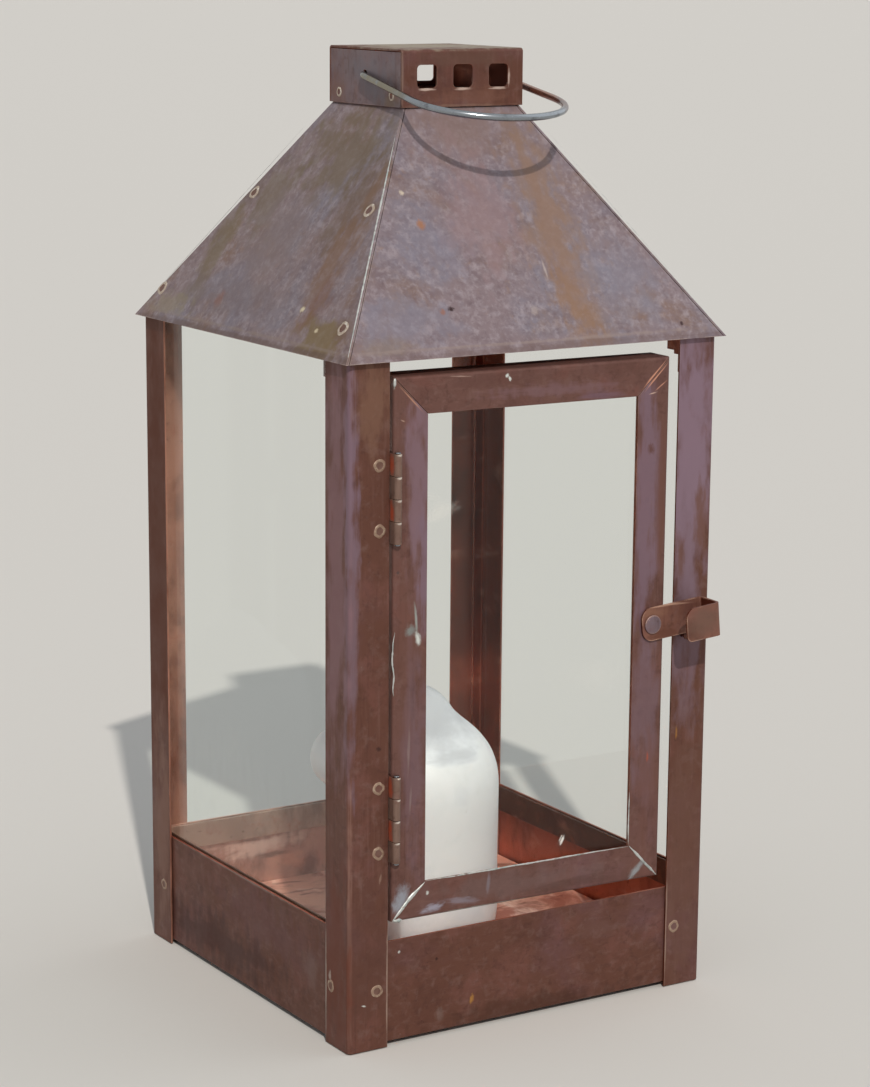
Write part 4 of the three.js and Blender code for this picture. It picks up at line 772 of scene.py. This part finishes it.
# spot welds: middle, the way out of the sheet, radius and rim
welds = [((x, -POST_FACE, z), FRONT, 2.9, POST_RIM) for x, z in (
    (-77.5, 251.4), (-77.5, 224.2), (-77.5, 114.9), (-77.5, 86.7), (-78, 26), (77.4, 27.7))]
welds += [((x, POST_FACE, 26.5), BACK, 2.9, POST_RIM) for x in (-78, 78)]
for side, out in ((-1, LEFT), (1, RIGHT)):
    welds += [((side * POST_FACE, y, z), out, 2.7, POST_RIM)
              for y, z in ((-77.2, 26.5), (79.3, 27.4))]
    welds += [((side * CHIMNEY_FACE, y, 395.2), out, 2.1, ROOF_RIM) for y in (-22, 22)]
    lean = Vector((side * ROOF_LEAN.x, 0, ROOF_LEAN.z))
    welds += [((side * x, y, z), lean, 3.4, ROOF_RIM) for x, y, z in (
        (56.8, 51.8, 350.2), (56.8, -48.3, 350.2), (86.6, 84, 306.3), (86.6, -78, 306.3))]

marks = bmesh.new()
for middle, out, radius, rim in welds:
    weld_mark(marks, Vector(middle), out, radius, rim)
dimple = patinated_copper("brown_patinated_copper_dimples", "#70544a", brown_layers(EVEN), [])
post_rim = heat_tinted_copper("heat_tinted_copper_posts", "#8f7664", "#ab9885")
roof_rim = heat_tinted_copper("heat_tinted_copper_roof", "#ac9c8c", "#d6d0c5")
new_piece("spot_weld_marks", marks, [post_rim, dimple, roof_rim], "housing")

# A thin line of solder lies along each of the roof's four hips, down to the eave. It is fullest on
# the front-left hip. It begins below the chimney, clear of where the bow's legs come down.
HIP_FOOT, HIP_HEAD = (94.2, 294.9), (38.2, 380)     # mm out on both X and Y, and up
HIP_LEAN = 1.3                                      # how much a hip's ridge looks up for 1 out on X
solder = tin_solder()
seams = bmesh.new()
for x in (-1, 1):
    for y in (-1, 1):
        foot, head = (Vector((x * far, y * far, up)) for far, up in (HIP_FOOT, HIP_HEAD))
        width, rise = (0.8, 0.25) if x < 0 and y < 0 else (0.5, 0.08)
        solder_run(seams, foot, head, Vector((x, y, HIP_LEAN)).normalized(), width, rise)
new_piece("hip_solder_seams", seams, [solder], "housing")

# the door's solder on its mitres, inner edges and hinge side: where each run starts and ends on X
# and Z, its width, rise and waver; drawn with the door shut, then turned to where it stands ajar
DOOR_FACE = -92.7
DOOR_AJAR = -2.1    # degrees about the hinges' line
runs = bmesh.new()
for start, end, width, rise, waver in (
        ((-71.0, 55.8), (-55.6, 71.2), 1.7, 0.45, 0.8),
        ((-70.6, 55.9), (-66.4, 56.1), 1.8, 0.4, 0.5),
        ((63.0, 56.0), (47.8, 71.2), 1.4, 0.4, 0.8),
        ((-55.0, 71.4), (47.4, 71.4), 0.8, 0.3, 0.2),
        ((47.4, 72.0), (47.4, 96.0), 0.6, 0.25, 0.2),
        ((-71.0, 154.0), (-71.0, 181.0), 0.8, 0.3, 1.4),
        ((-71.1, 283.0), (-70.9, 286.8), 1.3, 0.5, 0.6)):
    solder_run(runs, Vector((start[0], DOOR_FACE, start[1])), Vector((end[0], DOOR_FACE, end[1])),
               FRONT, width, rise, waver)
hinge_line = Vector((-70.6, -94.8, 0))
ajar = Matrix.Rotation(math.radians(DOOR_AJAR), 4, "Z")
bmesh.ops.transform(runs, verts=runs.verts, matrix=(
    Matrix.Translation(hinge_line) @ ajar @ Matrix.Translation(-hinge_line)))
new_piece("door_mitre_solder", runs, [solder], "door")


# floor, light and camera

# the floor is a plain disc, so wide that no view shows its edge, just under the lantern's feet
FLOOR_RADIUS, FLOOR_DROP = 60, 0.5 * MM
shape = bmesh.new()
bmesh.ops.create_circle(shape, cap_ends=True, radius=FLOOR_RADIUS, segments=96)
bmesh.ops.translate(shape, verts=shape.verts, vec=(0, 0, -FLOOR_DROP))
mesh = bpy.data.meshes.new("studio_floor")
shape.to_mesh(mesh)
shape.free()
floor = bpy.data.objects.new("studio_floor", mesh)
bpy.context.scene.collection.objects.link(floor)
matt, tree, place = blank("matt_studio_floor")
finished(tree, {"Base Color": srgb("#d5d3ce"), "Roughness": 0.9}, [], place)
floor.data.materials.append(matt)

# the world lights the lantern softly, and shows as a plain pale wall to the camera, glass and metal
world = bpy.data.worlds.new("soft_studio")
bpy.context.scene.world = world
world.use_nodes = True
studio = world.node_tree
studio.nodes.clear()
sky = add(studio, "ShaderNodeBackground", {"Color": srgb("#eef1f5"), "Strength": 0.46})
wall = add(studio, "ShaderNodeBackground", {"Color": srgb("#d9d9d8"), "Strength": 1.0})
ray = add(studio, "ShaderNodeLightPath")
direct = add(studio, "ShaderNodeMath", {
    0: ray.outputs["Is Camera Ray"], 1: ray.outputs["Is Transmission Ray"]}, operation="MAXIMUM")
shown = add(studio, "ShaderNodeMath", {
    0: direct, 1: ray.outputs["Is Glossy Ray"]}, operation="MAXIMUM")
whole = add(studio, "ShaderNodeMixShader", {0: shown, 1: sky, 2: wall})
add(studio, "ShaderNodeOutputWorld", {"Surface": whole})


def facing(bearing, height):
    """The way towards a place at this bearing and height in degrees. Bearing 0 is the front."""
    a, e = math.radians(bearing), math.radians(height)
    return Vector((math.sin(a) * math.cos(e), -math.cos(a) * math.cos(e), math.sin(e)))


# the key lamp is as far off as a large softbox, so its shadows are firm near the wire and softer on
# the floor; a weak, very wide fill on the right keeps that side from falling dark
for name, energy, width, colour, bearing, height in (
        ("key", 2.35, 1.1, "#fff8f0", -23, 38), ("fill", 0.5, 70, "#f4f6fa", 80, 28)):
    light = bpy.data.lights.new(name, "SUN")
    light.energy, light.angle, light.color = energy, math.radians(width), srgb(colour)[:3]
    lamp = bpy.data.objects.new(name, light)
    lamp.rotation_euler = facing(bearing, height).to_track_quat("Z", "Y").to_euler()
    bpy.context.scene.collection.objects.link(lamp)

# the camera: where it stands in degrees and mm, the height in mm that it looks at, its roll, and
# its lens in pixels of the frame
BEARING, HEIGHT, ROLL = -31.74, 12.54, math.radians(0.38)
DISTANCE, AIM = 1321.14, 170.9
FRAME_WIDTH, FRAME_HEIGHT = 870, 1087
FOCAL, MIDDLE_X, MIDDLE_Y = 2924.26, 421.96, 595.69
SENSOR = 36
back = facing(BEARING, HEIGHT)
right = Vector((0, 0, 1)).cross(back).normalized()
up = back.cross(right)
tilted_right = right * math.cos(ROLL) + up * math.sin(ROLL)
tilted_up = up * math.cos(ROLL) - right * math.sin(ROLL)
turn = Matrix((tilted_right, tilted_up, back)).transposed().to_4x4()
stand = Matrix.Translation(Vector((0, 0, AIM * MM)) + back * DISTANCE * MM)
eye = bpy.data.objects.new("camera", bpy.data.cameras.new("camera"))
bpy.context.scene.collection.objects.link(eye)
eye.matrix_world = stand @ turn
eye.data.sensor_width = SENSOR
eye.data.lens = FOCAL * SENSOR / FRAME_HEIGHT
eye.data.shift_x = (FRAME_WIDTH / 2 - MIDDLE_X) / FRAME_HEIGHT
eye.data.shift_y = (MIDDLE_Y - FRAME_HEIGHT / 2) / FRAME_HEIGHT
eye.data.clip_start, eye.data.clip_end = 0.01, 200
bpy.context.scene.camera = eye
bpy.context.scene.view_settings.view_transform = "Standard"
